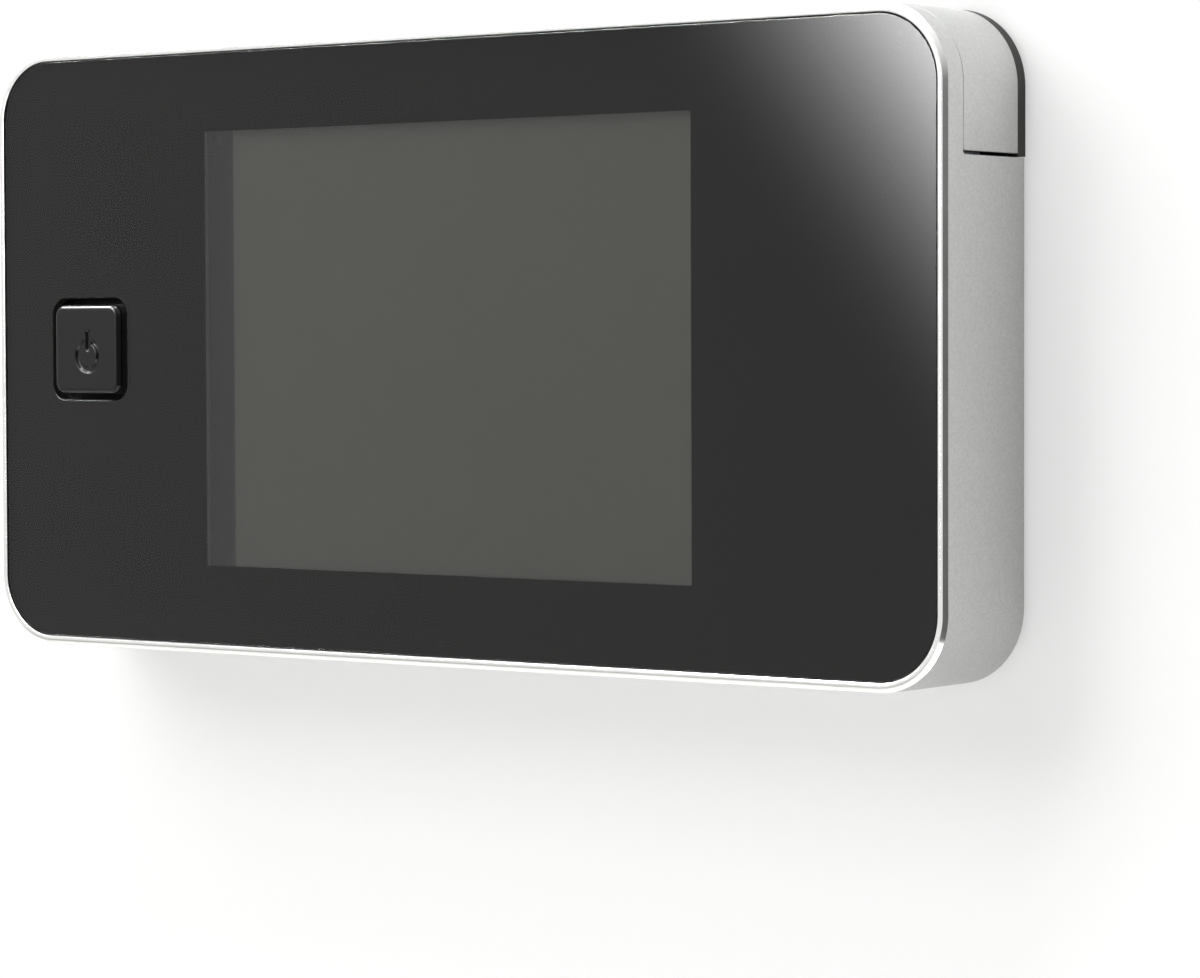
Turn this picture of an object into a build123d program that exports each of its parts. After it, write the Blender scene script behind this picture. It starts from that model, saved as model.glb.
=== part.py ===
from build123d import *
from math import radians, tan
import os

# Peephole door camera: a monitor with a screen, hung on a bracket inside the door, and a camera outside it.
# Millimetres. X runs right as seen from the room, +Y runs out through the door, +Z is up. The origin is where
# the tube's axis meets the door's inner face. Heights are counted off that face towards the room, along -Y.

os.makedirs("parts", exist_ok=True)

# Clearances
fit_gap = 0.1
slide_gap = 0.2
free_gap = 0.3
rest_gap = 0.05

# Case
case_corner = 8
case_wall = 1.6
case_back = 0.7
back_edge_round = 0.3
web_thickness = 1
rim_width = 1
boss_radius = 2.2
boss_gap = 0.3
boss_bite = 0.2
left_boss_inset = 7.4
right_boss_inset = 1.8
screw_radius = 1
screw_length = 7
screw_head_radius = 1.7
screw_angle = 90
pilot_gap = 0.03

# Front plate, its film and the bright ring
lens_thickness = 1.2
mask_thickness = 0.15
trim_thickness = 0.7
trim_stand = 0.15
trim_round = 0.4
edge_break = 0.1

# Spaces across the front, from the case's left edge to the cells
left_margin = 8.7
button_opening = 11.6
flex_room = 0.9
window_width = 67
window_height = 48.4
bay_side_gap = 3.15

# Screen
screen_left_border = 7.2
screen_right_border = 2.7
screen_border = 3.3
glass_thickness = 1.1
backlight_thickness = 1.4
ledge_width = 1.5
tray_sheet = 0.3
tray_lip = 1.5
screen_room = 1
gasket_squeeze = 0.05
gasket_lap = 0.5
gasket_room = 2
rib_length = 6
rib_thickness = 1
rib_height = 2.4
rib_pitch = 27

# Button and its key switch
opening_corner = 1.9
button_gap = 0.7
button_stand = 0.6
button_round = 0.5
button_travel = 0.6
button_wall = 1.2
button_flange = 1.55
flange_thickness = 1
stem_radius = 2.2
switch_size = 6
switch_height = 1.8
plunger_radius = 1.7
plunger_length = 1.6
plunger_gap = 0.05
plunger_stand = 0.7

# Cells, their bay and their contacts
cell_radius = 5.15
cell_length = 44.5
nub_radius = 1.9
nub_height = 0.8
cell_edge = 0.4
cell_gap = 0.4
cell_rear_gap = 0.25
contact_room = 1.6
contact_sheet = 0.3
contact_width = 7
strip_height = 5
leaf_width = 4
leaf_span = 6.4
tab_width = 1.6
bay_wall = 1.6
bay_end_wall = 1.2

# Battery door
panel_thickness = 1.4
panel_lap = 1
panel_end_lap = 1.65
tongue_reach = 1.1
side_tongue_reach = 0.7
tongue_root = 0.8
tongue_thickness = 0.6
tongue_end_gap = 2.4
cap_wall = 1.5
cap_height = 14.7
cap_depth = 10.1
cap_gap = 0.4
cap_round = 0.4
cap_foot = 4.5

# Rear cover
cover_thickness = 1.2
pocket_wall = 1.2
floor_thickness = 1
pocket_gap = 0.6
plug_room = 1.4
plug_opening_width = 13
plug_opening_height = 6.5
pocket_corner = 3

# Bracket with its hooks, and the pad
pad_thickness = 0.8
pad_width = 46
pad_height = 30
pad_hole_radius = 8
plate_thickness = 1.2
plate_corner = 4
screw_space = 5
hook_space = 12
hook_margin = 5
plate_height = 36
hook_upper_z = 11
hook_lower_z = -6
hook_width = 6
hook_lip = 5
hook_bend = 0.9
hook_window_height = 10.5
lift_travel = 6
slot_height = 8
slot_side_gap = 0.6
mount_hole_radius = 2.1
pad_screw_radius = 3.6

# Sleeve and outdoor tube
door_thickness = 45
sleeve_radius = 6
sleeve_bore = 4.6
sleeve_setback = 13
sleeve_flange_radius = 11
sleeve_flange = 1.8
sleeve_notch = 2
sleeve_edge = 0.4
running_gap = 0.1
barrel_wall = 0.7
barrel_length = 35
head_radius = 14
head_rim = 1.1
head_height = 3.9
head_face_radius = 10.4
head_round = 0.5
seal_thickness = 0.5
seal_inner_gap = 1.2
seal_outer_radius = 13

# Camera behind the outdoor lens
cell_bore = 4.4
sensor_setback = 4
sensor_board_thickness = 0.8
sensor_size = 5
sensor_thickness = 0.9
lens_cell_wall = 1
lens_cell_length = 4.8
first_lens_share = 0.25
second_lens_share = 0.75
lens_edge = 0.6
lens_crown = 0.35
dome_rim_radius = 7.4
dome_rim = 0.9
dome_lip = 1
dome_rise = 2.7
dome_thickness = 2
dome_seat = 2.2
bezel_width = 1.9
bezel_height = 1.3
bezel_hook = 0.7

# Boards, chips, socket, plug and flat leads
board_thickness = 1
board_corner = 5
board_side_gap = 2.9
board_end_gap = 0.4
board_head_radius = 1.9
board_head = 1.1
board_thread = 3
chip_width = 12
chip_height = 1.1
chip_margin = 4
chip_z = 11
memory_width = 8
memory_length = 13
memory_z = -4
lower_parts_margin = 12
capacitor_radius = 2.6
capacitor_height = 4.2
coil_width = 5
coil_height = 2.4
coil_corner = 1
coil_gap = 3
connector_width = 2.4
connector_length = 22
connector_height = 0.8
socket_z = -3
socket_width = 10
socket_height = 3.6
socket_depth = 3
socket_floor = 0.6
plug_width = 8.2
plug_height = 1.8
plug_head_width = 9.6
plug_head_height = 2.6
plug_head = 0.7
ribbon_side_gap = 1.6
ribbon_thickness = 0.3
ribbon_rise = 4
ribbon_radius = 12
flex_width = 20
flex_thickness = 0.15
flex_bend = 1
flex_reach = 2.5
flex_overlap = 1.3

# Stack from the door to the front: the bracket's hooks and the boards, or the cells, set the web's height
plate_back = pad_thickness
plate_front = plate_back + plate_thickness
flange_front = plate_front + sleeve_flange
floor_back = flange_front + plug_room
floor_front = floor_back + floor_thickness
lip_back = floor_front + free_gap
lip_front = lip_back + plate_thickness
board_back = lip_front + free_gap
board_front = board_back + board_thickness
screen_depth = tray_sheet + backlight_thickness + glass_thickness
cover_front = case_back + cover_thickness
panel_front = case_back + panel_thickness
cell_height = panel_front + cell_rear_gap + cell_radius
screen_stack = board_front + screen_room + screen_depth + gasket_squeeze
cap_front = panel_front + cap_depth
web_back = max(screen_stack, cell_height + cell_radius + slide_gap, cap_front + free_gap)
web_front = web_back + web_thickness
lens_back = web_front + mask_thickness
lens_front = lens_back + lens_thickness
trim_front = lens_front + trim_stand
case_front = trim_front - trim_thickness
glass_front = web_back - gasket_squeeze
glass_back = glass_front - glass_thickness
backlight_back = glass_back - backlight_thickness
tray_back = backlight_back - tray_sheet

# Bracket: the sleeve's flange, the screws and the hooks side by side
mount_hole_x = sleeve_flange_radius + screw_space
hook_x = mount_hole_x + hook_space
plate_width = 2 * (hook_x + hook_margin)

# Layout across the case, from its left edge: the button, the screen's lead, the window, the cells' bay
bay_width = 4 * cell_radius + 3 * cell_gap
bay_half = cell_length / 2 + contact_room
button_to_window = button_flange - button_gap + flex_room + flex_reach + screen_left_border
window_to_bay = screen_right_border + fit_gap + tray_sheet + bay_side_gap + bay_wall
front_row = (
    left_margin + button_opening + button_to_window + window_width + window_to_bay + bay_width + case_wall
)
pocket_half = plate_width / 2 + pocket_gap + pocket_wall + free_gap
case_width = max(front_row, 2 * (pocket_half + bay_wall + bay_width + case_wall))
# Up the case, the taller of the screen between two bosses and the cells under the cap's foot sets its height
screen_height = window_height + 2 * screen_border
tray_height = screen_height + 2 * (fit_gap + tray_sheet)
screen_half = tray_height / 2 + boss_gap + 2 * boss_radius - boss_bite + case_wall
cells_half = bay_half + bay_end_wall + free_gap + cap_foot + cap_wall
case_height = 2 * max(screen_half, cells_half)
case_left = -case_width / 2
case_right = case_width / 2
case_top = case_height / 2
button_x = case_left + left_margin + button_opening / 2
window_left = button_x + button_opening / 2 + button_to_window
window_x = window_left + window_width / 2
screen_left = window_left - screen_left_border
screen_right = window_left + window_width + screen_right_border
screen_width = screen_right - screen_left
screen_x = (screen_left + screen_right) / 2
tray_width = screen_width + 2 * (fit_gap + tray_sheet)
inner_width = case_width - 2 * case_wall
inner_height = case_height - 2 * case_wall
inner_right = inner_width / 2

# Cells and their bay
right_cell_x = inner_right - cell_gap - cell_radius
left_cell_x = right_cell_x - cell_gap - 2 * cell_radius
bay_left = inner_right - bay_width
bay_wall_left = bay_left - bay_wall
panel_left = bay_left - panel_lap
panel_right = inner_right - fit_gap
panel_bottom = -bay_half - panel_end_lap
cover_edge = panel_left - slide_gap
tongue_back = cover_front + fit_gap
tongue_front = tongue_back + tongue_thickness
cap_bottom = case_top - cap_height

# Contacts, and the tabs that run from them over the bay's wall to the board
contact_half = contact_width / 2
tab_back = tongue_front + free_gap
strip_back = max(cell_height - strip_height / 2, tab_back + tab_width + free_gap)
strip_front = cell_height + strip_height / 2
tab_end = bay_wall_left - free_gap - tab_width
left_tongue_length = case_top - case_wall - tongue_end_gap - panel_bottom

# Button, switch, board, socket and the screen's connector
button_width = button_opening - 2 * button_gap
button_front = lens_front + button_stand
button_flange_front = web_back - fit_gap
button_flange_back = button_flange_front - flange_thickness
plunger_top = board_front + switch_height + plunger_stand
board_left = -inner_right + board_side_gap
board_right = bay_wall_left - board_end_gap
board_width = board_right - board_left
board_x = (board_left + board_right) / 2
board_height = inner_height - 2 * board_end_gap
socket_back = board_back - socket_depth
plug_back = socket_back - plug_head - fit_gap
connector_left = screen_left - flex_bend - fit_gap
chip_left = board_left + chip_margin
chip_x = chip_left + chip_width / 2
capacitor_x = chip_left + capacitor_radius
coil_x = capacitor_x + capacitor_radius + coil_gap + coil_width / 2
lower_parts_z = lower_parts_margin - board_height / 2

# Screw places: the case's four corners, and the board's four beside the screen
boss_z = inner_height / 2 + boss_bite - boss_radius
left_boss_x = -inner_width / 2 + left_boss_inset
right_boss_x = bay_wall_left - boss_radius - right_boss_inset
boss_x = (left_boss_x + right_boss_x) / 2
boss_pitch = right_boss_x - left_boss_x
screw_cone = (screw_head_radius - screw_radius) / tan(radians(screw_angle / 2))
rib_z = tray_height / 2 + fit_gap + rib_thickness / 2

# The bracket's pocket in the rear cover
pocket_top = plate_height / 2 + pocket_gap
pocket_bottom = -plate_height / 2 - lift_travel - pocket_gap
pocket_width = plate_width + 2 * pocket_gap
pocket_height = pocket_top - pocket_bottom
pocket_z = (pocket_top + pocket_bottom) / 2

# Outdoor tube, along +Y
barrel_bore = sleeve_radius + running_gap
barrel_radius = barrel_bore + barrel_wall
seal_inner_radius = barrel_radius + seal_inner_gap
ribbon_width = 2 * (sleeve_bore - ribbon_side_gap)
barrel_start = door_thickness - barrel_length
sleeve_end = door_thickness - sleeve_setback
seal_front = door_thickness + seal_thickness
shoulder = door_thickness - sensor_setback
head_face = seal_front + head_height
dome_back = head_face - dome_seat
dome_foot = dome_back + rest_gap
dome_step = dome_foot + dome_rim
dome_radius = dome_rim_radius - dome_lip
bezel_foot = dome_step + rest_gap
dome_tip = dome_step + dome_rise
cell_start = shoulder + sensor_thickness + free_gap
lens_radius = cell_bore - lens_cell_wall
first_lens = cell_start + first_lens_share * lens_cell_length
second_lens = cell_start + second_lens_share * lens_cell_length
lens_half = lens_edge / 2


def facing_room(height):
    return Plane.XZ.offset(height)


def facing_door(height):
    return Plane(origin=(0, -height, 0), x_dir=(1, 0, 0), z_dir=(0, 1, 0))


def outline(inset, mode=Mode.ADD):
    RectangleRounded(case_width - 2 * inset, case_height - 2 * inset, case_corner - inset, mode=mode)


def button_hole(mode=Mode.SUBTRACT):
    with Locations((button_x, 0)):
        RectangleRounded(button_opening, button_opening, opening_corner, mode=mode)


def upper_right_of(x, z, mode):
    with Locations((x, z)):
        Rectangle(case_width, case_height, align=(Align.MIN, Align.MIN), mode=mode)


# Front plate: clear, with the button's opening through it
with BuildPart() as front_lens:
    with BuildSketch(facing_room(lens_back)):
        outline(rim_width + fit_gap)
        button_hole()
    extrude(amount=lens_thickness)
    chamfer(front_lens.faces().sort_by(Axis.Y)[0].edges(), length=edge_break)

front_lens.part.label = "front_lens"
export_step(front_lens.part, "parts/front_lens.step")

# Black film on the plate's back, clear over the screen
with BuildPart() as lens_mask:
    with BuildSketch(facing_room(web_front)):
        outline(rim_width + fit_gap)
        button_hole()
        with Locations((window_x, 0)):
            Rectangle(window_width, window_height, mode=Mode.SUBTRACT)
    extrude(amount=mask_thickness)

lens_mask.part.label = "lens_mask"
export_step(lens_mask.part, "parts/lens_mask.step")

# Bright ring on the case's front edge, rounded outside
with BuildPart() as trim_ring:
    with BuildSketch(facing_room(case_front)):
        outline(0)
    extrude(amount=trim_thickness)
    fillet(trim_ring.faces().sort_by(Axis.Y)[0].edges(), radius=trim_round)
    with BuildSketch(facing_room(case_front)):
        outline(rim_width)
    extrude(amount=trim_thickness, mode=Mode.SUBTRACT)

trim_ring.part.label = "trim_ring"
export_step(trim_ring.part, "parts/trim_ring.step")

# Case: a tray open to the rear, with a web behind the front plate and a rim round the plate.
# Its upper right corner is cut out for the battery door's cap.
with BuildPart() as case_shell:
    with BuildSketch(facing_room(case_back)):
        outline(0)
    extrude(amount=case_front - case_back)
    fillet(case_shell.faces().sort_by(Axis.Y)[-1].edges(), radius=back_edge_round)
    with BuildSketch(facing_room(case_back)):
        outline(case_wall)
    extrude(amount=web_back - case_back, mode=Mode.SUBTRACT)
    with BuildSketch(facing_room(web_front)):
        outline(rim_width)
    extrude(amount=case_front - web_front, mode=Mode.SUBTRACT)
    with BuildSketch(facing_room(web_back)):
        with Locations((window_x, 0)):
            Rectangle(window_width + 2 * gasket_room, window_height + 2 * gasket_room)
        button_hole(Mode.ADD)
    extrude(amount=web_thickness, mode=Mode.SUBTRACT)
    with BuildSketch(facing_room(case_back)):
        upper_right_of(cover_edge, cap_bottom - cap_gap, Mode.ADD)
    extrude(amount=cap_front + fit_gap - case_back, mode=Mode.SUBTRACT)
    notch_corner = Vertex(case_right, -cap_front - fit_gap, cap_bottom - cap_gap)
    fillet(case_shell.edges().filter_by(Axis.X).sort_by_distance(notch_corner)[0], radius=cap_round)
    # Bay for the two cells: a side wall that stops short of the left tongue, and two end walls
    with BuildSketch(facing_room(tongue_front + fit_gap)):
        with Locations((bay_wall_left, -bay_half - bay_end_wall)):
            Rectangle(bay_wall, case_top - case_wall + bay_half + bay_end_wall, align=(Align.MIN, Align.MIN))
    extrude(amount=web_back - tongue_front - fit_gap)
    with BuildSketch(facing_room(panel_front + fit_gap)):
        for side in (-1, 1):
            with Locations((bay_left, side * (bay_half + bay_end_wall / 2))):
                Rectangle(bay_width, bay_end_wall, align=(Align.MIN, Align.CENTER))
        outline(case_wall, Mode.INTERSECT)
    extrude(amount=web_back - panel_front - fit_gap)
    with BuildSketch(facing_room(tab_back - fit_gap)):
        with Locations((bay_wall_left, bay_half)):
            Rectangle(bay_wall, contact_sheet + fit_gap, align=(Align.MIN, Align.MAX))
    extrude(amount=board_front + tab_width - tab_back + 2 * fit_gap, mode=Mode.SUBTRACT)
    # Grooves that the battery door's tongues slide in, open at the top
    with BuildSketch(facing_room(tongue_back - fit_gap)):
        upper_right_of(panel_left - tongue_reach - fit_gap, case_top - case_wall, Mode.ADD)
        with Locations((panel_right + side_tongue_reach, panel_bottom - slide_gap)):
            Rectangle(
                tongue_root + side_tongue_reach + fit_gap, case_height, align=(Align.MAX, Align.MIN)
            )
    extrude(amount=tongue_thickness + 2 * fit_gap, mode=Mode.SUBTRACT)
    # Bosses for the case's screws and for the board's, and ribs that hold the screen in place
    with BuildSketch(facing_room(cover_front)):
        with Locations((boss_x, 0)):
            with GridLocations(boss_pitch, 2 * boss_z, 2, 2):
                Circle(boss_radius)
    extrude(amount=web_back - cover_front)
    with BuildSketch(facing_room(board_front)):
        with Locations((screen_x, 0)):
            with GridLocations(rib_pitch, 2 * boss_z, 2, 2):
                Circle(boss_radius)
    extrude(amount=web_back - board_front)
    with BuildSketch(facing_room(web_back - rib_height)):
        with Locations((screen_x, 0)):
            with GridLocations(rib_pitch, 2 * rib_z, 3, 2):
                Rectangle(rib_length, rib_thickness)
    extrude(amount=rib_height)
    with BuildSketch(facing_room(case_back)):
        with Locations((boss_x, 0)):
            with GridLocations(boss_pitch, 2 * boss_z, 2, 2):
                Circle(screw_radius + pilot_gap)
    extrude(amount=screw_length + fit_gap, mode=Mode.SUBTRACT)
    with BuildSketch(facing_room(board_back)):
        with Locations((screen_x, 0)):
            with GridLocations(rib_pitch, 2 * boss_z, 2, 2):
                Circle(screw_radius + pilot_gap)
    extrude(amount=board_thread + board_thickness + fit_gap, mode=Mode.SUBTRACT)

case_shell.part.label = "case_shell"
export_step(case_shell.part, "parts/case_shell.step")

# Rear cover: a plate round a pocket. The pocket's floor has four slots for the bracket's hooks, tall enough
# to lift the case off them, and an opening for the plug.
with BuildPart() as rear_cover:
    with BuildSketch(facing_room(case_back)):
        outline(case_wall + fit_gap)
        upper_right_of(cover_edge, panel_bottom - slide_gap, Mode.SUBTRACT)
    extrude(amount=cover_thickness)
    with BuildSketch(facing_room(cover_front)):
        with Locations((0, pocket_z)):
            RectangleRounded(
                pocket_width + 2 * pocket_wall, pocket_height + 2 * pocket_wall, pocket_corner + pocket_wall
            )
    extrude(amount=floor_front - cover_front)
    with BuildSketch(facing_room(case_back)):
        with Locations((0, pocket_z)):
            RectangleRounded(pocket_width, pocket_height, pocket_corner)
    extrude(amount=floor_back - case_back, mode=Mode.SUBTRACT)
    with BuildSketch(facing_room(floor_back)):
        for neck_top in (hook_upper_z, hook_lower_z):
            with Locations((0, neck_top + rest_gap - slot_height / 2)):
                with GridLocations(2 * hook_x, slot_height, 2, 1):
                    Rectangle(hook_width + 2 * slot_side_gap, slot_height)
        with Locations((0, socket_z)):
            Rectangle(plug_opening_width, plug_opening_height)
    extrude(amount=floor_thickness, mode=Mode.SUBTRACT)
    with Locations(facing_door(case_back)):
        with Locations((boss_x, 0)):
            with GridLocations(boss_pitch, 2 * boss_z, 2, 2):
                CounterSinkHole(
                    screw_radius + fit_gap, screw_head_radius + rest_gap, counter_sink_angle=screw_angle
                )

rear_cover.part.label = "rear_cover"
export_step(rear_cover.part, "parts/rear_cover.step")

# Four countersunk screws through the cover into the case
with BuildPart() as case_screws:
    with Locations(facing_door(case_back)):
        with Locations((boss_x, 0)):
            with GridLocations(boss_pitch, 2 * boss_z, 2, 2):
                Cylinder(screw_radius, screw_length, align=(Align.CENTER, Align.CENTER, Align.MAX))
                Cone(
                    screw_radius,
                    screw_head_radius,
                    screw_cone,
                    align=(Align.CENTER, Align.CENTER, Align.MAX),
                )

case_screws.part.label = "case_screws"
export_step(case_screws.part, "parts/case_screws.step")

# Foam ring between the film and the screen's glass
with BuildPart() as lcd_gasket:
    with BuildSketch(facing_room(glass_front)):
        with Locations((window_x, 0)):
            Rectangle(
                window_width + 2 * (gasket_room - fit_gap), window_height + 2 * (gasket_room - fit_gap)
            )
            Rectangle(window_width + 2 * gasket_lap, window_height + 2 * gasket_lap, mode=Mode.SUBTRACT)
    extrude(amount=web_front - glass_front)

lcd_gasket.part.label = "lcd_gasket"
export_step(lcd_gasket.part, "parts/lcd_gasket.step")

# Screen: its glass, the light unit behind it, and the steel tray round both
with BuildPart() as lcd_glass:
    with BuildSketch(facing_room(glass_back)):
        with Locations((screen_x, 0)):
            Rectangle(screen_width, screen_height)
    extrude(amount=glass_thickness)

lcd_glass.part.label = "lcd_glass"
export_step(lcd_glass.part, "parts/lcd_glass.step")

with BuildPart() as lcd_backlight:
    with BuildSketch(facing_room(backlight_back)):
        with Locations((screen_right, 0)):
            Rectangle(screen_width - ledge_width, screen_height, align=(Align.MAX, Align.CENTER))
    extrude(amount=backlight_thickness)

lcd_backlight.part.label = "lcd_backlight"
export_step(lcd_backlight.part, "parts/lcd_backlight.step")

with BuildPart() as lcd_frame:
    with BuildSketch(facing_room(tray_back)):
        with Locations((screen_x, 0)):
            Rectangle(tray_width, tray_height)
    extrude(amount=tray_lip)
    with BuildSketch(facing_room(backlight_back)):
        with Locations((screen_x, 0)):
            Rectangle(screen_width + 2 * fit_gap, screen_height + 2 * fit_gap)
    extrude(amount=tray_lip, mode=Mode.SUBTRACT)

lcd_frame.part.label = "lcd_frame"
export_step(lcd_frame.part, "parts/lcd_frame.step")

# Flat lead from the glass's left ledge round the tray to the board
with BuildPart() as lcd_flex:
    with BuildSketch(Plane.XY):
        with BuildLine():
            FilletPolyline(
                (screen_left + flex_overlap, flex_thickness / 2 - glass_back),
                (screen_left - flex_reach, flex_thickness / 2 - glass_back),
                (screen_left - flex_reach, -board_front - connector_height / 2),
                (connector_left, -board_front - connector_height / 2),
                radius=flex_bend,
            )
        trace(line_width=flex_thickness)
    extrude(amount=flex_width / 2, both=True)

lcd_flex.part.label = "lcd_flex"
export_step(lcd_flex.part, "parts/lcd_flex.step")

# Power button: a hollow square cap with a flange behind the web and a stem over the key switch
with BuildPart() as power_button:
    with BuildSketch(facing_room(button_flange_front)):
        with Locations((button_x, 0)):
            RectangleRounded(button_width, button_width, opening_corner - button_gap)
    extrude(amount=button_front - button_flange_front)
    fillet(power_button.faces().sort_by(Axis.Y)[0].edges(), radius=button_round)
    with BuildSketch(facing_room(button_flange_back)):
        with Locations((button_x, 0)):
            RectangleRounded(
                button_width + 2 * button_flange, button_width + 2 * button_flange, opening_corner
            )
    extrude(amount=flange_thickness)
    with BuildSketch(facing_room(button_flange_back)):
        with Locations((button_x, 0)):
            Rectangle(button_width - 2 * button_wall, button_width - 2 * button_wall)
    extrude(amount=button_front - button_wall - button_flange_back, mode=Mode.SUBTRACT)
    with BuildSketch(facing_room(plunger_top)):
        with Locations((button_x, 0)):
            Circle(stem_radius)
    extrude(amount=button_front - button_wall - plunger_top)

power_button.part.label = "power_button"
export_step(power_button.part, "parts/power_button.step")

# Key switch on the board and the plunger that slides in it
with BuildPart() as power_switch:
    with BuildSketch(facing_room(board_front)):
        with Locations((button_x, 0)):
            Rectangle(switch_size, switch_size)
    extrude(amount=switch_height)
    with BuildSketch(facing_room(plunger_top - plunger_length - button_travel - fit_gap)):
        with Locations((button_x, 0)):
            Circle(plunger_radius + plunger_gap)
    extrude(amount=switch_height + plunger_length, mode=Mode.SUBTRACT)

power_switch.part.label = "power_switch"
export_step(power_switch.part, "parts/power_switch.step")

with BuildPart() as switch_plunger:
    with BuildSketch(facing_room(plunger_top - plunger_length)):
        with Locations((button_x, 0)):
            Circle(plunger_radius)
    extrude(amount=plunger_length)

switch_plunger.part.label = "switch_plunger"
export_step(switch_plunger.part, "parts/switch_plunger.step")

# Circuit board, notched round the case's bosses
with BuildPart() as main_board:
    with BuildSketch(facing_room(board_back)):
        with Locations((board_x, 0)):
            RectangleRounded(board_width, board_height, board_corner)
        with Locations((boss_x, 0)):
            with GridLocations(boss_pitch, 2 * boss_z, 2, 2):
                Circle(boss_radius + boss_gap, mode=Mode.SUBTRACT)
        with Locations((screen_x, 0)):
            with GridLocations(rib_pitch, 2 * boss_z, 2, 2):
                Circle(screw_radius + fit_gap, mode=Mode.SUBTRACT)
    extrude(amount=board_thickness)

main_board.part.label = "main_board"
export_step(main_board.part, "parts/main_board.step")

with BuildPart() as board_screws:
    with Locations(facing_door(board_back)):
        with Locations((screen_x, 0)):
            with GridLocations(rib_pitch, 2 * boss_z, 2, 2):
                Cylinder(board_head_radius, board_head, align=(Align.CENTER, Align.CENTER, Align.MIN))
                Cylinder(
                    screw_radius,
                    board_thread + board_thickness,
                    align=(Align.CENTER, Align.CENTER, Align.MAX),
                )

board_screws.part.label = "board_screws"
export_step(board_screws.part, "parts/board_screws.step")

with BuildPart() as processor:
    with BuildSketch(facing_room(board_back - chip_height)):
        with Locations((chip_x, chip_z)):
            Rectangle(chip_width, chip_width)
    extrude(amount=chip_height)

processor.part.label = "processor"
export_step(processor.part, "parts/processor.step")

# Other parts soldered on the board: memory chip, coil and capacitor behind, the screen's connector in front
with BuildPart() as board_parts:
    with BuildSketch(facing_room(board_back - chip_height)):
        with Locations((chip_x, memory_z)):
            Rectangle(memory_width, memory_length)
    extrude(amount=chip_height)
    with BuildSketch(facing_room(board_back - coil_height)):
        with Locations((coil_x, lower_parts_z)):
            RectangleRounded(coil_width, coil_width, coil_corner)
    extrude(amount=coil_height)
    with BuildSketch(facing_room(board_back - capacitor_height)):
        with Locations((capacitor_x, lower_parts_z)):
            Circle(capacitor_radius)
    extrude(amount=capacitor_height)
    with BuildSketch(facing_room(board_front)):
        with Locations((connector_left, 0)):
            Rectangle(connector_width, connector_length, align=(Align.MIN, Align.CENTER))
    extrude(amount=connector_height)

board_parts.part.label = "board_parts"
export_step(board_parts.part, "parts/board_parts.step")

# Socket on the board's back, open to the rear, and the plug in it
with BuildPart() as camera_socket:
    with BuildSketch(facing_room(socket_back)):
        with Locations((0, socket_z)):
            Rectangle(socket_width, socket_height)
    extrude(amount=socket_depth)
    with BuildSketch(facing_room(socket_back)):
        with Locations((0, socket_z)):
            Rectangle(plug_width + 2 * fit_gap, plug_height + 2 * fit_gap)
    extrude(amount=socket_depth - socket_floor, mode=Mode.SUBTRACT)

camera_socket.part.label = "camera_socket"
export_step(camera_socket.part, "parts/camera_socket.step")

with BuildPart() as ribbon_plug:
    with BuildSketch(facing_room(plug_back)):
        with Locations((0, socket_z)):
            Rectangle(plug_head_width, plug_head_height)
    extrude(amount=plug_head)
    with BuildSketch(facing_room(plug_back)):
        with Locations((0, socket_z)):
            Rectangle(plug_width, plug_height)
    extrude(amount=plug_head + socket_depth - socket_floor)

ribbon_plug.part.label = "ribbon_plug"
export_step(ribbon_plug.part, "parts/ribbon_plug.step")


# Cell standing on its flat end, with its nub up or down
def cell(x, nub_side):
    with BuildPart() as can:
        with BuildSketch(Plane.XY.offset(-nub_side * cell_length / 2)):
            with Locations((x, -cell_height)):
                Circle(cell_radius)
        extrude(amount=nub_side * (cell_length - nub_height))
        fillet(can.edges().filter_by(GeomType.CIRCLE), radius=cell_edge)
        with BuildSketch(Plane.XY.offset(nub_side * cell_length / 2)):
            with Locations((x, -cell_height)):
                Circle(nub_radius)
        extrude(amount=-nub_side * (nub_height + cell_edge))
    return can


battery_left = cell(left_cell_x, 1)
battery_left.part.label = "battery_left"
export_step(battery_left.part, "parts/battery_left.step")

battery_right = cell(right_cell_x, -1)
battery_right.part.label = "battery_right"
export_step(battery_right.part, "parts/battery_right.step")


# Contact of spring sheet: strips flat on the bay's upper or lower end wall, and bowed leaves on the cells
def contact(strips, leaves, side):
    wall_z = side * (bay_half - contact_sheet / 2)
    with BuildPart() as sheet:
        with BuildSketch(Plane.XY.offset(side * bay_half)):
            for left, right, low, high in strips:
                with Locations((left, -low)):
                    Rectangle(right - left, high - low, align=(Align.MIN, Align.MAX))
        extrude(amount=-side * contact_sheet)
        for x in leaves:
            with BuildSketch(facing_room(cell_height - leaf_width / 2)):
                with BuildLine():
                    ThreePointArc(
                        (x - leaf_span / 2, wall_z),
                        (x, side * (cell_length / 2 + rest_gap + contact_sheet / 2)),
                        (x + leaf_span / 2, wall_z),
                    )
                trace(line_width=contact_sheet)
            extrude(amount=leaf_width)
    return sheet


contact_positive = contact(
    [
        (left_cell_x - contact_half, left_cell_x + contact_half, strip_back, strip_front),
        (tab_end, left_cell_x, board_front, board_front + tab_width),
    ],
    [left_cell_x],
    1,
)
contact_positive.part.label = "contact_positive"
export_step(contact_positive.part, "parts/contact_positive.step")

contact_negative = contact(
    [
        (right_cell_x - contact_half, right_cell_x + contact_half, tab_back, strip_front),
        (tab_end, right_cell_x, tab_back, tab_back + tab_width),
        (tab_end, tab_end + tab_width, tab_back, board_back),
    ],
    [right_cell_x],
    1,
)
contact_negative.part.label = "contact_negative"
export_step(contact_negative.part, "parts/contact_negative.step")

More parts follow.
